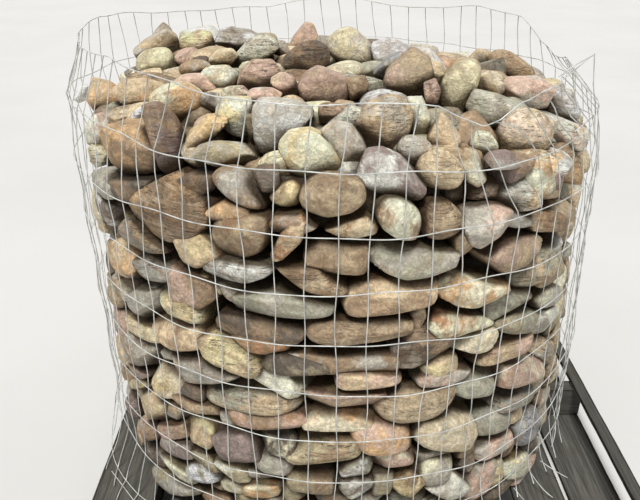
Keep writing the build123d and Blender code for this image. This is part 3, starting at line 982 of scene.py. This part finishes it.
# The heap's most striking stones, as in WALL_OUTLINES.
HEAP_OUTLINES = {
    "grey_peak": ("grey tan", "angular", ((134, 51), (144, 42), (166, 29), (176, 36), (182, 52),
        (176, 60), (140, 62))),
    "grey_peak_back": ("grey brown", "angular", ((152, 36), (163, 23), (170, 28), (174, 38),
        (160, 46))),
    "grey_side": ("grey tan", "round", ((174, 38), (185, 42), (186, 54), (178, 60), (170, 52))),
    "cream_ball": ("sand olive", "round", ((136, 60), (146, 50), (168, 48), (178, 62), (181, 78),
        (170, 79), (140, 74))),
    "brown_yellow": ("tan yellow", "plain", ((180, 39), (198, 31), (210, 33), (215, 45), (208, 56),
        (190, 60), (182, 52))),
    "pale_rough": ("grey pale", "angular", ((216, 42), (220, 31), (232, 28), (250, 31), (264, 38),
        (252, 50), (228, 51))),
    "cream_bar": ("cream grey", "plain", ((228, 68), (232, 58), (250, 40), (264, 35), (278, 42),
        (278, 52), (260, 58), (238, 72))),
    "tan_back": ("tan sand", "plain", ((209, 60), (218, 50), (232, 49), (238, 56), (228, 68),
        (212, 70))),
    "brown_bean": ("brown grey", "round", ((179, 67), (190, 60), (205, 61), (210, 66), (200, 75),
        (182, 75))),
    "pink_long": ("pink tan", "plain", ((172, 85), (184, 75), (202, 74), (214, 84), (222, 96),
        (190, 96))),
    "cream_oval": ("cream sand", "round", ((200, 77), (208, 67), (230, 67), (238, 77), (232, 87),
        (218, 91))),
    "pink_block": ("pink tan", "angular", ((238, 84), (242, 70), (252, 61), (272, 60), (281, 72),
        (279, 86), (268, 93), (242, 94))),
    "pink_back": ("pink orange", "plain", ((284, 62), (293, 38), (305, 23), (313, 25), (318, 40),
        (310, 52), (292, 62))),
    "brown_capsule": ("brown dark", "round", ((281, 72), (281, 62), (294, 48), (312, 41), (326, 47),
        (329, 57), (324, 70), (296, 78))),
    "grey_capsule": ("sand grey", "round", ((328, 44), (336, 32), (352, 28), (372, 46), (380, 60),
        (373, 75), (354, 72), (332, 56))),
    "pink_cracked": ("pink tan", "angular", ((299, 84), (306, 74), (318, 67), (345, 78), (350, 85),
        (345, 100), (328, 104), (302, 98))),
    "brown_cube": ("brown tan", "plain", ((346, 78), (364, 76), (368, 84), (364, 95), (350, 99))),
    "pink_yellow": ("yellow pink", "plain", ((271, 80), (282, 73), (292, 77), (300, 90), (296, 100),
        (280, 94))),
    "tan_large": ("cream orange", "plain", ((150, 98), (164, 86), (186, 83), (202, 93), (206, 106),
        (194, 122), (178, 125), (158, 112))),
    "brown_leaning": ("brown purple", "plain", ((142, 107), (160, 103), (176, 118), (187, 140),
        (184, 162), (172, 171), (160, 166), (151, 140))),
    "cream_wedge_front": ("cream yellow", "angular", ((216, 110), (224, 98), (250, 98), (254, 118),
        (244, 135), (232, 132), (220, 124))),
    "tan_tail": ("tan orange", "angular", ((186, 140), (190, 129), (206, 128), (222, 116),
        (228, 126), (208, 142), (192, 153))),
    "grey_cleft": ("grey cream", "angular", ((253, 108), (260, 100), (300, 103), (313, 112),
        (308, 124), (284, 134), (266, 150), (256, 134))),
    "grey_plate": ("grey olive", "plain", ((194, 156), (200, 147), (216, 142), (246, 146),
        (256, 156), (252, 166), (222, 166))),
    "tan_low": ("tan sand", "round", ((258, 166), (268, 153), (288, 151), (294, 168), (288, 178),
        (264, 176))),
    "cream_block": ("cream yellow", "angular", ((280, 144), (290, 131), (312, 130), (330, 142),
        (344, 162), (345, 182), (318, 178), (288, 164))),
    "grey_upright": ("grey tan", "angular", ((322, 132), (334, 124), (352, 127), (362, 140),
        (368, 156), (358, 174), (344, 168))),
    "cream_chip": ("cream grey", "angular", ((328, 125), (350, 106), (363, 110), (354, 125),
        (338, 130))),
    "pale_rock": ("pale grey", "angular", ((372, 44), (392, 39), (404, 46), (414, 50), (400, 68),
        (382, 74), (374, 60))),
    "blue_rock": ("blue grey", "plain", ((374, 72), (388, 57), (402, 52), (402, 70), (390, 80),
        (378, 80))),
    "pale_far": ("pale grey", "angular", ((412, 47), (430, 50), (440, 62), (446, 72), (430, 74),
        (414, 60))),
    "tan_rock": ("tan pink", "angular", ((382, 90), (398, 72), (402, 54), (418, 50), (431, 60),
        (436, 82), (436, 102), (412, 102))),
    "purple_side": ("purple pink", "plain", ((424, 84), (435, 79), (441, 90), (436, 108),
        (426, 102))),
    "sand_chip": ("yellow tan", "plain", ((433, 74), (444, 73), (446, 80), (438, 86))),
    "sand_capsule": ("sand olive", "round", ((439, 106), (440, 84), (450, 66), (460, 59), (478, 61),
        (480, 74), (470, 102), (460, 119), (448, 119))),
    "tan_behind": ("tan grey", "angular", ((466, 62), (478, 49), (491, 52), (490, 66), (480, 70))),
    "brown_pillow": ("brown olive", "round", ((489, 60), (496, 50), (510, 52), (532, 68), (534, 77),
        (518, 79), (500, 72))),
    "cream_knob": ("cream yellow", "plain", ((472, 88), (476, 77), (490, 72), (502, 77), (504, 90),
        (496, 98), (478, 97))),
    "pink_shelf": ("tan pink", "slab", ((480, 70), (500, 72), (512, 82), (500, 88), (482, 80))),
    "pink_boulder": ("pink grey", "angular", ((497, 88), (508, 79), (538, 78), (554, 90),
        (546, 106), (520, 110), (500, 100))),
    "green_slab": ("green grey", "angular", ((467, 104), (474, 90), (500, 97), (524, 110),
        (512, 120), (490, 125), (474, 118))),
    "pale_boulder": ("grey pale", "angular", ((540, 92), (558, 86), (572, 96), (580, 112),
        (570, 125), (552, 122), (542, 108))),
    "pink_ball": ("pink tan", "round", ((496, 134), (508, 115), (530, 110), (547, 120), (552, 138),
        (540, 152), (520, 161), (502, 158))),
    "cream_nub": ("cream orange", "plain", ((469, 143), (476, 132), (490, 134), (498, 146),
        (494, 159), (480, 153))),
    "tan_triangle": ("tan pink", "angular", ((427, 138), (440, 115), (448, 120), (460, 138),
        (456, 151), (436, 152))),
    "yellow_chip": ("yellow cream", "angular", ((408, 97), (422, 98), (430, 118), (426, 133),
        (416, 135), (408, 124))),
    "tan_hexagon": ("tan grey", "plain", ((355, 124), (364, 106), (382, 97), (400, 97), (412, 112),
        (408, 132), (396, 147), (382, 152), (366, 145))),
    "grey_rim": ("grey pale", "plain", ((353, 116), (364, 96), (382, 90), (404, 96), (411, 106),
        (380, 112))),
    "grey_ball": ("grey tan", "round", ((397, 148), (404, 136), (424, 138), (432, 150), (420, 163),
        (406, 168))),
    "sand_ball": ("sand tan", "round", ((416, 166), (426, 153), (444, 151), (460, 164), (463, 178),
        (452, 189), (430, 187), (419, 178))),
    "cream_purple": ("cream purple", "angular", ((358, 170), (366, 152), (382, 149), (402, 160),
        (425, 186), (420, 197), (410, 198), (362, 180))),
    "tall_chip": ("tan cream", "plain", ((459, 162), (464, 150), (476, 152), (486, 178), (478, 185),
        (466, 178))),
    "cream_shelf": ("cream pink", "angular", ((548, 130), (560, 122), (576, 129), (588, 142),
        (582, 150), (558, 148))),
    "cream_right": ("cream tan", "plain", ((490, 184), (504, 172), (520, 171), (536, 186),
        (540, 204), (514, 210), (492, 202))),
    "orange_block": ("orange tan", "angular", ((84, 98), (91, 80), (108, 84), (127, 98), (124, 113),
        (111, 119), (94, 112))),
    "tan_saddle": ("tan orange", "angular", ((112, 91), (124, 82), (146, 80), (168, 87), (152, 102),
        (136, 112), (128, 106))),
    "pink_far_left": ("pink pale", "plain", ((72, 98), (78, 88), (86, 84), (86, 98), (78, 102))),
    "cream_pocket": ("cream pale", "plain", ((127, 126), (134, 113), (145, 107), (144, 126),
        (136, 137))),
    "cream_speck": ("cream yellow", "round", ((127, 80), (134, 71), (141, 77), (136, 84))),
}
# Stones of the heap's near edge, as they show through the top cells of the mesh.
EDGE_STONES = (
    (8.2, .88, 142, 64, 20, "cream tan", "plain"), (5.3, 1.1, 70, 45, 0, "brown purple", "plain"),
    (7.0, 1.25, 90, 60, 10, "cream orange", "plain"),
)
# Millimetres that some of them lie farther from the eye, behind their neighbours.
BEHIND = {"grey_peak": 80, "grey_peak_back": 110, "grey_side": 90, "pink_back": 60,
          "tan_behind": 50, "pale_far": 50, "brown_yellow": 40, "grey_rim": 40, "pink_shelf": 25,
          "pale_rough": 30}
SUMMIT = 1000.0        # height of the middles of the topmost stones
EDGE_DROP = 122.0      # how much lower they lie beside the mesh
HEAP_RADIUS = 530.0
BACK_START = 60.0      # behind this line the heap falls away
BACK_DROP = 78.0
FRONT_KEPT = 62.0      # how far fillers keep behind the wall's stones at the front
HEAP_FILLERS = (37, 0.28, 20, 62)


def mound(x, y):
    """Height of the middles of the heap's stones, about the axis."""
    behind = min(max((y - BACK_START) / 260, 0), 1)
    return (SUMMIT - EDGE_DROP * (math.hypot(x, y) / HEAP_RADIUS) ** 4
            - BACK_DROP * behind * behind * (3 - 2 * behind))


def sight(target):
    """Where the line from the eye through a point meets the heap, and how far that is."""
    line = np.asarray(target, float) - EYE
    best = None
    for far in np.arange(0.45, 1.30, 0.004):
        p = EYE + far * line
        outside = max(math.hypot(p[0], p[1]) - HEAP_RADIUS + 12, 0)
        above = p[2] - mound(p[0], p[1]) + outside * 3
        if best is None or above < best[0]:
            best = above, far, p
        if above < 2 and outside == 0:
            break
    far, p = best[1:]
    p[:2] *= min(1, (HEAP_RADIUS - 12) / math.hypot(p[0], p[1]))
    return p, far


heap_piles = {"lower": Pile(), "middle": Pile(), "upper": Pile(), "crown": Pile()}
HEAP_RINGS = (("crown", 190), ("upper", 330), ("middle", 430), ("lower", math.inf))
heap_places = []


def heap_stone(place, size, tilt, words, shape, seed, rich, turn=None, corners=None):
    """A cobble on the heap, its middle at place."""
    axes = facing(place)
    if turn is not None:
        c, s = math.cos(turn), math.sin(turn)
        axes = np.array([c, s, 0.0]), np.array([-s, c, 0.0]), UP
    distance = math.hypot(place[0], place[1])
    key = next(key for key, reach in HEAP_RINGS if distance < reach)
    # dim makes the heap's stones brighter: painted light
    verts = lay_stone(heap_piles[key], place, axes, size, tilt, shape, words, seed, rich,
                      dim=HEAP_PAINTED_LIGHT, corners=corners)
    outward = np.array([place[0], place[1], 0.0]) / distance
    if corners:
        move_inside(verts, place, outward, lambda v: max(inside_mesh(v), 0))
    else:
        verts -= outward * max(inside_mesh(verts), 0)
    verts[:, 0] += AXIS_X


def make_heap():
    """The stones that the eye sees."""
    seen, whole = [], []
    for index, (name, (words, shape, corners)) in enumerate(HEAP_OUTLINES.items()):
        middle = np.mean([eye_ray(px, py) for px, py in corners], axis=0)
        place, far = sight(EYE - middle * EYE[1] / middle[1])
        place += (place - EYE) / math.dist(place, EYE) * BEHIND.get(name, 0)
        place, sides, corners = outlined(place, corners)
        seen.append((place, *sides, 0, words, shape, 3000 + 11 * index, corners))
    for index, (x, z, *stone) in enumerate(HEAP_STONES):
        whole.append(((x, 0.0, RIM_Z + z), 5000 + 11 * index, *stone))
    for index, (k, j, *stone) in enumerate(EDGE_STONES):
        outward = wall_frame(FIRST_COLUMN + k * CELL_WIDTH)[0]
        whole.append((outward * RADIUS + UP * (RIM_Z - j * CELL_HEIGHT), 7000 + 11 * index, *stone))
    for target, seed, width, height, tilt, words, shape in whole:
        place, far = sight(target)
        seen.append((place, width * far, height * far, tilt, words, shape, seed, None))
    for place, width, height, tilt, words, shape, seed, corners in seen:
        depth = float(np.clip((width + height) * 0.42, 36, 95))
        height = lower_seen(height, depth, (EYE[2] - place[2]) / math.dist(place, EYE), 0.7)
        heap_stone(place, (width * 1.05, depth, height * 1.05), tilt, words, shape, seed, True,
                   corners=corners)
        heap_places.append((place, max(width, height, depth) / 2))


def heap_surface(x, y):
    """The mound, raised or lowered to the listed stones about a point."""
    weight = total = 0.0
    for place, _ in heap_places:
        w = math.exp(-((place[0] - x) ** 2 + (place[1] - y) ** 2) / (2 * 80.0 ** 2))
        total += w * (place[2] - mound(place[0], place[1]))
        weight += w
    return mound(x, y) + total / max(weight, 0.6)


def seen_over(x, y, half):
    """The height that a stone here may reach without hiding the listed ones behind it."""
    away = np.array([x - EYE[0], y - EYE[1]])
    distance = float(np.linalg.norm(away))
    away /= distance
    limit, skyline = 2000.0, -1.0
    for place, radius in heap_places:
        line = np.array([place[0] - EYE[0], place[1] - EYE[1]])
        far = float(np.linalg.norm(line))
        aside = abs(away[0] * line[1] - away[1] * line[0])
        if aside > radius + half * 0.5:
            continue
        skyline = max(skyline, (place[2] + radius * 0.55 - EYE[2]) / far)
        if far > distance and aside < (radius + half) * 0.75:
            limit = min(limit, EYE[2] + (place[2] - radius * 0.25 - EYE[2]) * distance / far)
    return min(limit, EYE[2] + (skyline - 0.004) * distance) if skyline > -1 else limit


def within(limit):
    """A random place in a circle."""
    turn, reach = rng.uniform(0, 2 * math.pi), limit * math.sqrt(rng.uniform(0, 1))
    return reach * math.cos(turn), reach * math.sin(turn)


def fill_heap():
    """Packed stones over the heap, under and behind the listed ones."""
    discs = [(place[0], place[1], r * 0.82) for place, r in heap_places]
    hand = len(discs)
    area = sum(math.pi * r * r for x, y, r in discs)
    limit = RADIUS - 14
    while area < math.pi * limit ** 2 * 0.98:
        r = filler(*HEAP_FILLERS)
        discs.append((*within(limit), r))
        area += math.pi * r * r
    x, y, radius = map(np.array, zip(*discs))
    fixed = np.arange(len(x)) < hand
    for _ in range(20):
        x, y = pack(x, y, radius, fixed, 1e9, -1e9, 1e9, 12)
        reach = np.hypot(x, y)
        most = limit - radius - np.where(y < 0, FRONT_KEPT, 0)
        far = (reach > most) & ~fixed
        x[far] *= (most / reach)[far]
        y[far] *= (most / reach)[far]
    for index in range(hand, len(x)):
        size = radius[index] * 2 * 1.05
        stretch = float(rng.uniform(1.0, 1.45))
        height = size * float(rng.uniform(0.62, 0.9))
        sunk = height * 0.5 + 2 if y[index] < 150 else float(rng.uniform(-6, 8))
        z = min(heap_surface(x[index], y[index]) - sunk,
                seen_over(x[index], y[index], size / 2) - height * 0.45)
        shape = random_shape(.26, .40, .14, .20)
        heap_stone(np.array([x[index], y[index], z]),
                   (size * math.sqrt(stretch), size / math.sqrt(stretch), height),
                   float(rng.normal(0, 14)), "", shape, 60000 + 19 * index, False,
                   float(rng.uniform(0, math.pi)))


make_heap()
fill_heap()


# ---------------------------------------------------------------- behind the front stones
INNER_SIZE = (118, 100, 86)    # length, depth and height of the layer's stones
INNER_DEPTH = 128              # how far behind the wall's face they stand
INNER_COUNT = 30               # stones in a ring
INNER_RISE = 74                # between its rings
INNER_FINENESS = 4             # faces along a side, as in FINENESS
INNER_TOP = 90                 # stones under the heap, and their size and the circle that they fill
TOP_SIZE = (118, 100, 84)
TOP_REACH = 470.0
CORE_REACH = 432
CORE_RINGS, CORE_STEPS = 15, 64
CORE_CAP = ((300, SUMMIT - 118), (130, SUMMIT - 104))   # radius and height of its top rings


def make_inner():
    """A second, coarser layer of stones that shows through the gaps, painted darker as shade."""
    pile = Pile()
    for row, z in enumerate(np.arange(DECK_Z + 42, RIM_Z - 150, INNER_RISE)):
        for step in range(INNER_COUNT):
            at = step + 0.5 * (row % 2) + rng.uniform(-0.2, 0.2)
            outward, right = wall_frame(at / INNER_COUNT * 2 * math.pi * RADIUS)
            size = rng.uniform(0.9, 1.15, 3) * INNER_SIZE
            reach = WALL_RADIUS - INNER_DEPTH + rng.uniform(-10, 14)
            place = outward * reach + UP * (z + rng.uniform(-10, 10))
            # dim=0.62 is painted shade: this layer lies in shadow behind the front stones.
            lay_stone(pile, place, (right, -outward, UP), size, float(rng.normal(0, 14)), "plain",
                      "", 90000 + row * 100 + step, coarse=INNER_FINENESS, dim=0.62)
    for _ in range(INNER_TOP):
        x, y = within(TOP_REACH)
        size = rng.uniform(0.85, 1.2, 3) * TOP_SIZE
        # dim=0.6 is painted shade, as the stones under the heap lie in shadow.
        lay_stone(pile, np.array([x, y, heap_surface(x, y) - 66.0]), np.eye(3), size,
                  float(rng.normal(0, 14)), "plain", "", 95000 + int(abs(x) * 7 + abs(y)),
                  coarse=INNER_FINENESS, dim=0.6)
    for verts in pile.verts:
        verts[:, 0] += AXIS_X
    return pile


def make_core():
    """The mass of stone in the middle of the basket, painted dark as shade."""
    turns = ring_turns(CORE_STEPS)
    verts = []
    for ring in range(CORE_RINGS):
        z = DECK_Z + 2 + ring / (CORE_RINGS - 1) * (SUMMIT - 150 - DECK_Z)
        for turn in turns:
            reach = (CORE_REACH + 14 * math.sin(5 * turn + ring * 2.1)
                     + 10 * math.sin(9 * turn - ring * 3.3))
            verts.append((AXIS_X + reach * math.cos(turn), reach * math.sin(turn), z))
    for reach, z in CORE_CAP:
        verts += [(AXIS_X + reach * math.cos(turn), reach * math.sin(turn), z) for turn in turns]
    count = len(verts)
    faces = [*between(0, CORE_RINGS + len(CORE_CAP) - 1, CORE_STEPS),
             tuple(range(count - CORE_STEPS, count)), tuple(range(CORE_STEPS - 1, -1, -1))]
    core = mesh_object("stone_core", verts, faces, STONE)
    # The core's dark tones and its open value of 0.1 are painted shade, for stone deep in shadow.
    ones = np.ones((count, 1))
    give(core.data, rock=np.array(verts) / 1000, tint=ones * linear((64, 54, 44)),
         patch=ones * linear((84, 72, 58)), trait=ones * (0.2, 0.1, 0.5),
         ridge=np.zeros(count), open=np.full(count, 0.1))
    return core


inner_pile = make_inner()
fill_grid([*piles, *heap_piles.values(), inner_pile])
for index, pile in enumerate(piles):
    piece = pile.build(f"wall_stones_{index + 1}")
    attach(piece, "root")
    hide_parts(f"cobble_course_{index + 1}")
for key, node in (("lower", "heap_course_1"), ("middle", "heap_course_2"),
                  ("upper", "heap_course_3"), ("crown", "crown_stones")):
    piece = heap_piles[key].build(f"heap_stones_{key}")
    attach(piece, "root")
    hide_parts(node)
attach(inner_pile.build("inner_stones"), "root")
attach(make_core(), "root")


# ---------------------------------------------------------------- the wire mesh
WIRE_SIDES = 6
HOOP_SHIFT = WIRE * 0.8        # the hoops lie outside the uprights
UPRIGHT_POINTS, HOOP_POINTS = 28, 36
CUT_END = 8.52                 # how far down the uprights over the cut hoop reach
CUT_SPLAY = ((4.0,), (12.0,), (26.0,))   # how far out their last points stand
# Cut ends of uprights on the deck at the left: column, length and turn to the right in degrees.
STUBS = ((-12, 54, 6), (-11, 60, 14), (-10, 66, 2), (-9, 78, -4), (-8, 52, 8))
STUB_ACROSS = (-11.4, -8.6)    # columns between which a hoop's end lies over them
# Loose ends over the cut hoop: column, how far out they reach, and height over the deck.
LOOSE_ENDS = ((8.4, 70, 10), (9.6, 58, 2), (10.6, 64, 22))
# The torn corner of the rim: strands by how far right of, behind and above the corner they run.
TORN_COLUMN = 11.0
TORN_STRANDS = (
    ((0, 0, 0), (26, 0, 24), (50, 0, 46), (58, 2, -6), (72, 4, -58), (40, 2, -88)),
    ((20, 4, 14), (26, 2, -12), (36, 0, -44), (72, 4, -60)),
    ((-4, 0, 8), (20, -6, 30), (46, -4, 44)),
)


class Wires:
    """Round wires gathered for one joined mesh."""

    def __init__(self):
        self.verts, self.faces, self.count = [], [], 0

    def add(self, points, shift=0.0):
        """A tube along points, moved out from the axis by shift."""
        points = np.array(points, float)
        if shift:
            flat = points[:, :2] - (AXIS_X, 0)
            points[:, :2] += flat / np.linalg.norm(flat, axis=1, keepdims=True) * shift
        tangent = np.gradient(points, axis=0)
        tangent /= np.linalg.norm(tangent, axis=1, keepdims=True)
        first = np.cross(tangent, UP if abs(tangent[0][2]) < 0.8 else np.array([1.0, 0.3, 0.0]))
        first /= np.linalg.norm(first, axis=1, keepdims=True)
        second = np.cross(tangent, first)
        for turn in ring_turns(WIRE_SIDES):
            side = math.cos(turn) * first + math.sin(turn) * second
            self.verts.append(points + WIRE / 2 * side)
        n = len(points)
        starts = [self.count + side * n for side in range(WIRE_SIDES)]
        for a, b in zip(starts, starts[1:] + starts[:1]):
            self.faces += [(a + i, b + i, b + i + 1, a + i + 1) for i in range(n - 1)]
        self.faces.append(tuple(starts))
        self.faces.append(tuple(a + n - 1 for a in reversed(starts)))
        self.count += n * WIRE_SIDES


def mesh_point(k, j):
    """One point of the mesh."""
    return wire_place(np.array([float(k)]), np.array([float(j)]))[0]


def make_wires():
    """Uprights and hoops, a piece for each panel of the basket."""
    columns = COLUMNS // PANELS
    for panel in range(PANELS):
        wires = Wires()
        start = panel * columns
        for k in range(start, start + columns):
            cut = FOOT_CUT[0] <= k <= FOOT_CUT[1]
            points = wire_place(np.full(UPRIGHT_POINTS, float(k)),
                                np.linspace(0, CUT_END if cut else 9.0, UPRIGHT_POINTS))
            if cut:
                points[-3:, :2] += (points[-3:, :2] - (AXIS_X, 0)) / RADIUS * CUT_SPLAY
            wires.add(points)
        for row in range(ROWS + 1):
            k = np.linspace(start, start + columns, HOOP_POINTS)
            if row == ROWS:
                k = k[(k <= FOOT_CUT[0]) | (k >= FOOT_CUT[1])]
            if len(k) > 2:
                wires.add(wire_place(k, np.full(len(k), float(row))), HOOP_SHIFT)
        if panel == 1:
            add_torn_corner(wires)
            add_loose_ends(wires)
        if panel == 8:
            add_stubs(wires)
        piece = mesh_object(f"wire_panel_{panel + 1}", np.vstack(wires.verts), wires.faces, STEEL)
        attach(piece, "root")
        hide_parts(f"mesh_panel_{panel + 1}")


def add_stubs(wires):
    """Cut ends of uprights that lie out on the deck at the left, and a hoop's end across them."""
    steps = np.linspace(0, 1, 6)[:, None]
    for k, length, turn in STUBS:
        angle = math.radians(turn - 8)
        path = mesh_point(k, 9)[:2] + np.array([math.sin(angle), -math.cos(angle)]) * length * steps
        wires.add(np.hstack([path, DECK_Z + WIRE + 5 * np.sin(steps * 3.1)]))
    first, last = (mesh_point(k, 9) for k in STUB_ACROSS)
    path = first + (last - first) * steps + np.array([0, -34.0, 0])
    path[:, 2] = DECK_Z + WIRE * 2
    wires.add(path)


def add_torn_corner(wires):
    """Strands that stand out from the rim at the right."""
    for strand in TORN_STRANDS:
        wires.add(mesh_point(TORN_COLUMN, 0) + np.array(strand, float))


def add_loose_ends(wires):
    """Wire ends that hang out over the deck at the lower right."""
    steps = np.linspace(0, 1, 6)[:, None]
    for k, reach, rise in LOOSE_ENDS:
        base = mesh_point(k, 8.6)
        path = base[:2] + np.array([base[0] - AXIS_X, base[1]]) / RADIUS * reach * steps
        height = base[2] - (base[2] - DECK_Z - 6 - rise) * np.sin(steps * 1.5)
        wires.add(np.hstack([path, height]))


make_wires()


# ---------------------------------------------------------------- the pallet
TIMBER_TONES = ((106, 105, 98), (114, 112, 105), (95, 94, 88), (101, 98, 91))
SECTION_EVERY = 28             # millimetres between a board's sections
NAIL_SHARES = (0.22, 0.78)     # where the nails lie across a board
NAIL_RINGS = ((4.2, 0.05), (4.0, 0.7), (2.4, 1.0))   # radius and height of a nail head's rings
NAIL_STEPS = 10


def board_mesh(low, high, way, seed):
    """Vertices, faces, places in the wood and tone of a sawn board with worn edges.

    way is the axis that it runs along."""
    r = np.random.default_rng(seed)
    other = 1 - way
    size = high - low
    edge = min(3.0, size[2] * 0.2)
    rings = max(8, int(size[way] / SECTION_EVERY))
    section = []
    for a, b in ((-1, -1), (1, -1), (1, 1), (-1, 1)):
        corner = np.array([a * size[other] / 2, b * size[2] / 2])
        first, last = np.array([-a * edge, 0]), np.array([0, -b * edge])
        if a * b < 0:
            first, last = last, first
        section += [corner + first, corner + (first + last) * 0.3, corner + last]
    waves = r.uniform(0, 6.28, (4, 2))[:2, 0]
    offset = r.uniform(-9, 9, 3)
    tone = linear(TIMBER_TONES[int(r.integers(len(TIMBER_TONES)))]) * r.uniform(0.85, 1.12)
    verts, grain = [], []
    for ring in range(rings + 1):
        t = (ring / rings - 0.5) * size[way]
        for a, b in section:
            wear = 0.7 * math.sin(t / 37 + waves[0] + a) + 0.5 * math.sin(t / 13 + waves[1] + b)
            p = np.zeros(3)
            p[way] = t + (r.uniform(-1.2, 0.4) if ring in (0, rings) else 0)
            p[other] = a - math.copysign(0.5 + wear * 0.5, a)
            p[2] = b - math.copysign(0.15 + wear * 0.12, b)
            verts.append(np.clip(p + (low + high) / 2, low, high))
            grain.append(np.array([t, a, b]) / 1000 + offset)
    count = len(section)
    faces = list(between(0, rings, count))
    first = tuple(range(count))
    last = tuple(range(rings * count, (rings + 1) * count))
    if way == 0:
        faces = [(a, d, c, b) for a, b, c, d in faces] + [first, last[::-1]]
    else:
        faces += [first[::-1], last]
    return verts, faces, grain, tone


def make_pallet():
    """A sawn board for each timber of the frame."""
    names = sorted(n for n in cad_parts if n.startswith(("deck_", "base_", "stringer_")))
    for index, name in enumerate(names):
        low, high = (np.array(corner) * 1000 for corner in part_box(name))
        way = 0 if high[0] - low[0] > high[1] - low[1] else 1
        verts, faces, grain, tone = board_mesh(low, high, way, 300 + index)
        obj = mesh_object("timber_" + name, verts, faces, TIMBER, smooth=False)
        give(obj.data, grain=grain, tint=np.ones((len(verts), 1)) * tone)
        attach(obj, "root")
        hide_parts(name)


def make_nails():
    """Nail heads where the boards cross the stringers; those of the base lie flush below."""
    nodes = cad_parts
    stringers = [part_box(n) for n in sorted(nodes) if n.startswith("stringer_")]
    verts, faces = [], []
    r = np.random.default_rng(9)
    for name in sorted(n for n in nodes if n.startswith(("deck_board", "base_board"))):
        low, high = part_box(name)
        x0, x1 = low[0] * 1000, high[0] * 1000
        top = name.startswith("deck")
        z = (high if top else low)[2] * 1000
        for s_low, s_high in stringers:
            for share in NAIL_SHARES:
                x = x0 + (x1 - x0) * share + r.uniform(-5, 5)
                y = (s_low[1] + s_high[1]) * 500 + r.uniform(-7, 7)
                start = len(verts)
                for reach, rise in NAIL_RINGS:
                    verts += [(x + reach * math.cos(turn), y + reach * math.sin(turn),
                               z + rise * top) for turn in ring_turns(NAIL_STEPS)]
                faces += between(start, len(NAIL_RINGS) - 1, NAIL_STEPS)
                faces.append(tuple(range(len(verts) - NAIL_STEPS, len(verts))))
    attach(mesh_object("nail_heads", verts, faces, STEEL, smooth=False), "root")


make_pallet()
make_nails()


# ---------------------------------------------------------------- floor, light and eye
FLOOR_REACH = 30000.0
SKY = (0.96, 0.98, 1.0)
SKY_STRENGTH = (0.06, 0.50)    # at the horizon and overhead
BACKDROP = (0.80, 0.80, 0.79)
SENSOR = 36.0


def make_stage():
    """The floor, a sky that grows brighter upwards, and a soft high lamp."""
    corners = [(-FLOOR_REACH, -FLOOR_REACH, 0), (FLOOR_REACH, -FLOOR_REACH, 0),
               (FLOOR_REACH, FLOOR_REACH, 0), (-FLOOR_REACH, FLOOR_REACH, 0)]
    floor = mesh_object("floor", corners, [(0, 1, 2, 3)], floor_material(), smooth=False)
    world = bpy.data.worlds.new("soft_sky")
    bpy.context.scene.world = world
    m = Nodes(world)
    sky = m.tree.nodes["Background"]
    height = m.split(m.new("TexCoord", "Generated", {}))["Z"]
    m.put(sky.inputs["Color"], SKY)
    m.put(sky.inputs["Strength"], m.ramp(height, 0.0, 1.0, *SKY_STRENGTH, "LINEAR"))
    backdrop = m.new("Background", "Background", {"Color": BACKDROP, "Strength": 1.0})
    rays = m.new("LightPath", None, {})
    shown = rays["Is Camera Ray"]
    for kind in ("Is Glossy Ray", "Is Transmission Ray"):
        shown = m.math("MAXIMUM", shown, rays[kind])
    both = m.new("MixShader", "Shader", {"Fac": shown, 1: sky.outputs["Background"], 2: backdrop})
    m.put(m.tree.nodes["World Output"].inputs["Surface"], both)
    light = bpy.data.lights.new("high_lamp", "SUN")
    light.energy, light.angle, light.color = 3.0, math.radians(14), (1.0, 0.99, 0.97)
    lamp = placed("high_lamp", light)
    lamp.location = (0, 0, 4)
    lamp.rotation_euler = (math.radians(27), 0, math.radians(-10))


def make_camera():
    """The eye, with its lens."""
    camera = bpy.data.cameras.new("eye")
    camera.sensor_fit = "HORIZONTAL"
    camera.sensor_width = SENSOR
    camera.lens = SENSOR * FOCAL_PX / IMAGE_WIDTH
    camera.clip_end = 100.0
    eye = placed("eye", camera)
    eye.location = (EYE + (AXIS_X, 0, 0)) / 1000
    eye.rotation_mode = "XYZ"
    eye.rotation_euler = EYE_TURN
    bpy.context.scene.camera = eye


make_stage()
make_camera()
bpy.context.scene.view_settings.view_transform = "Standard"
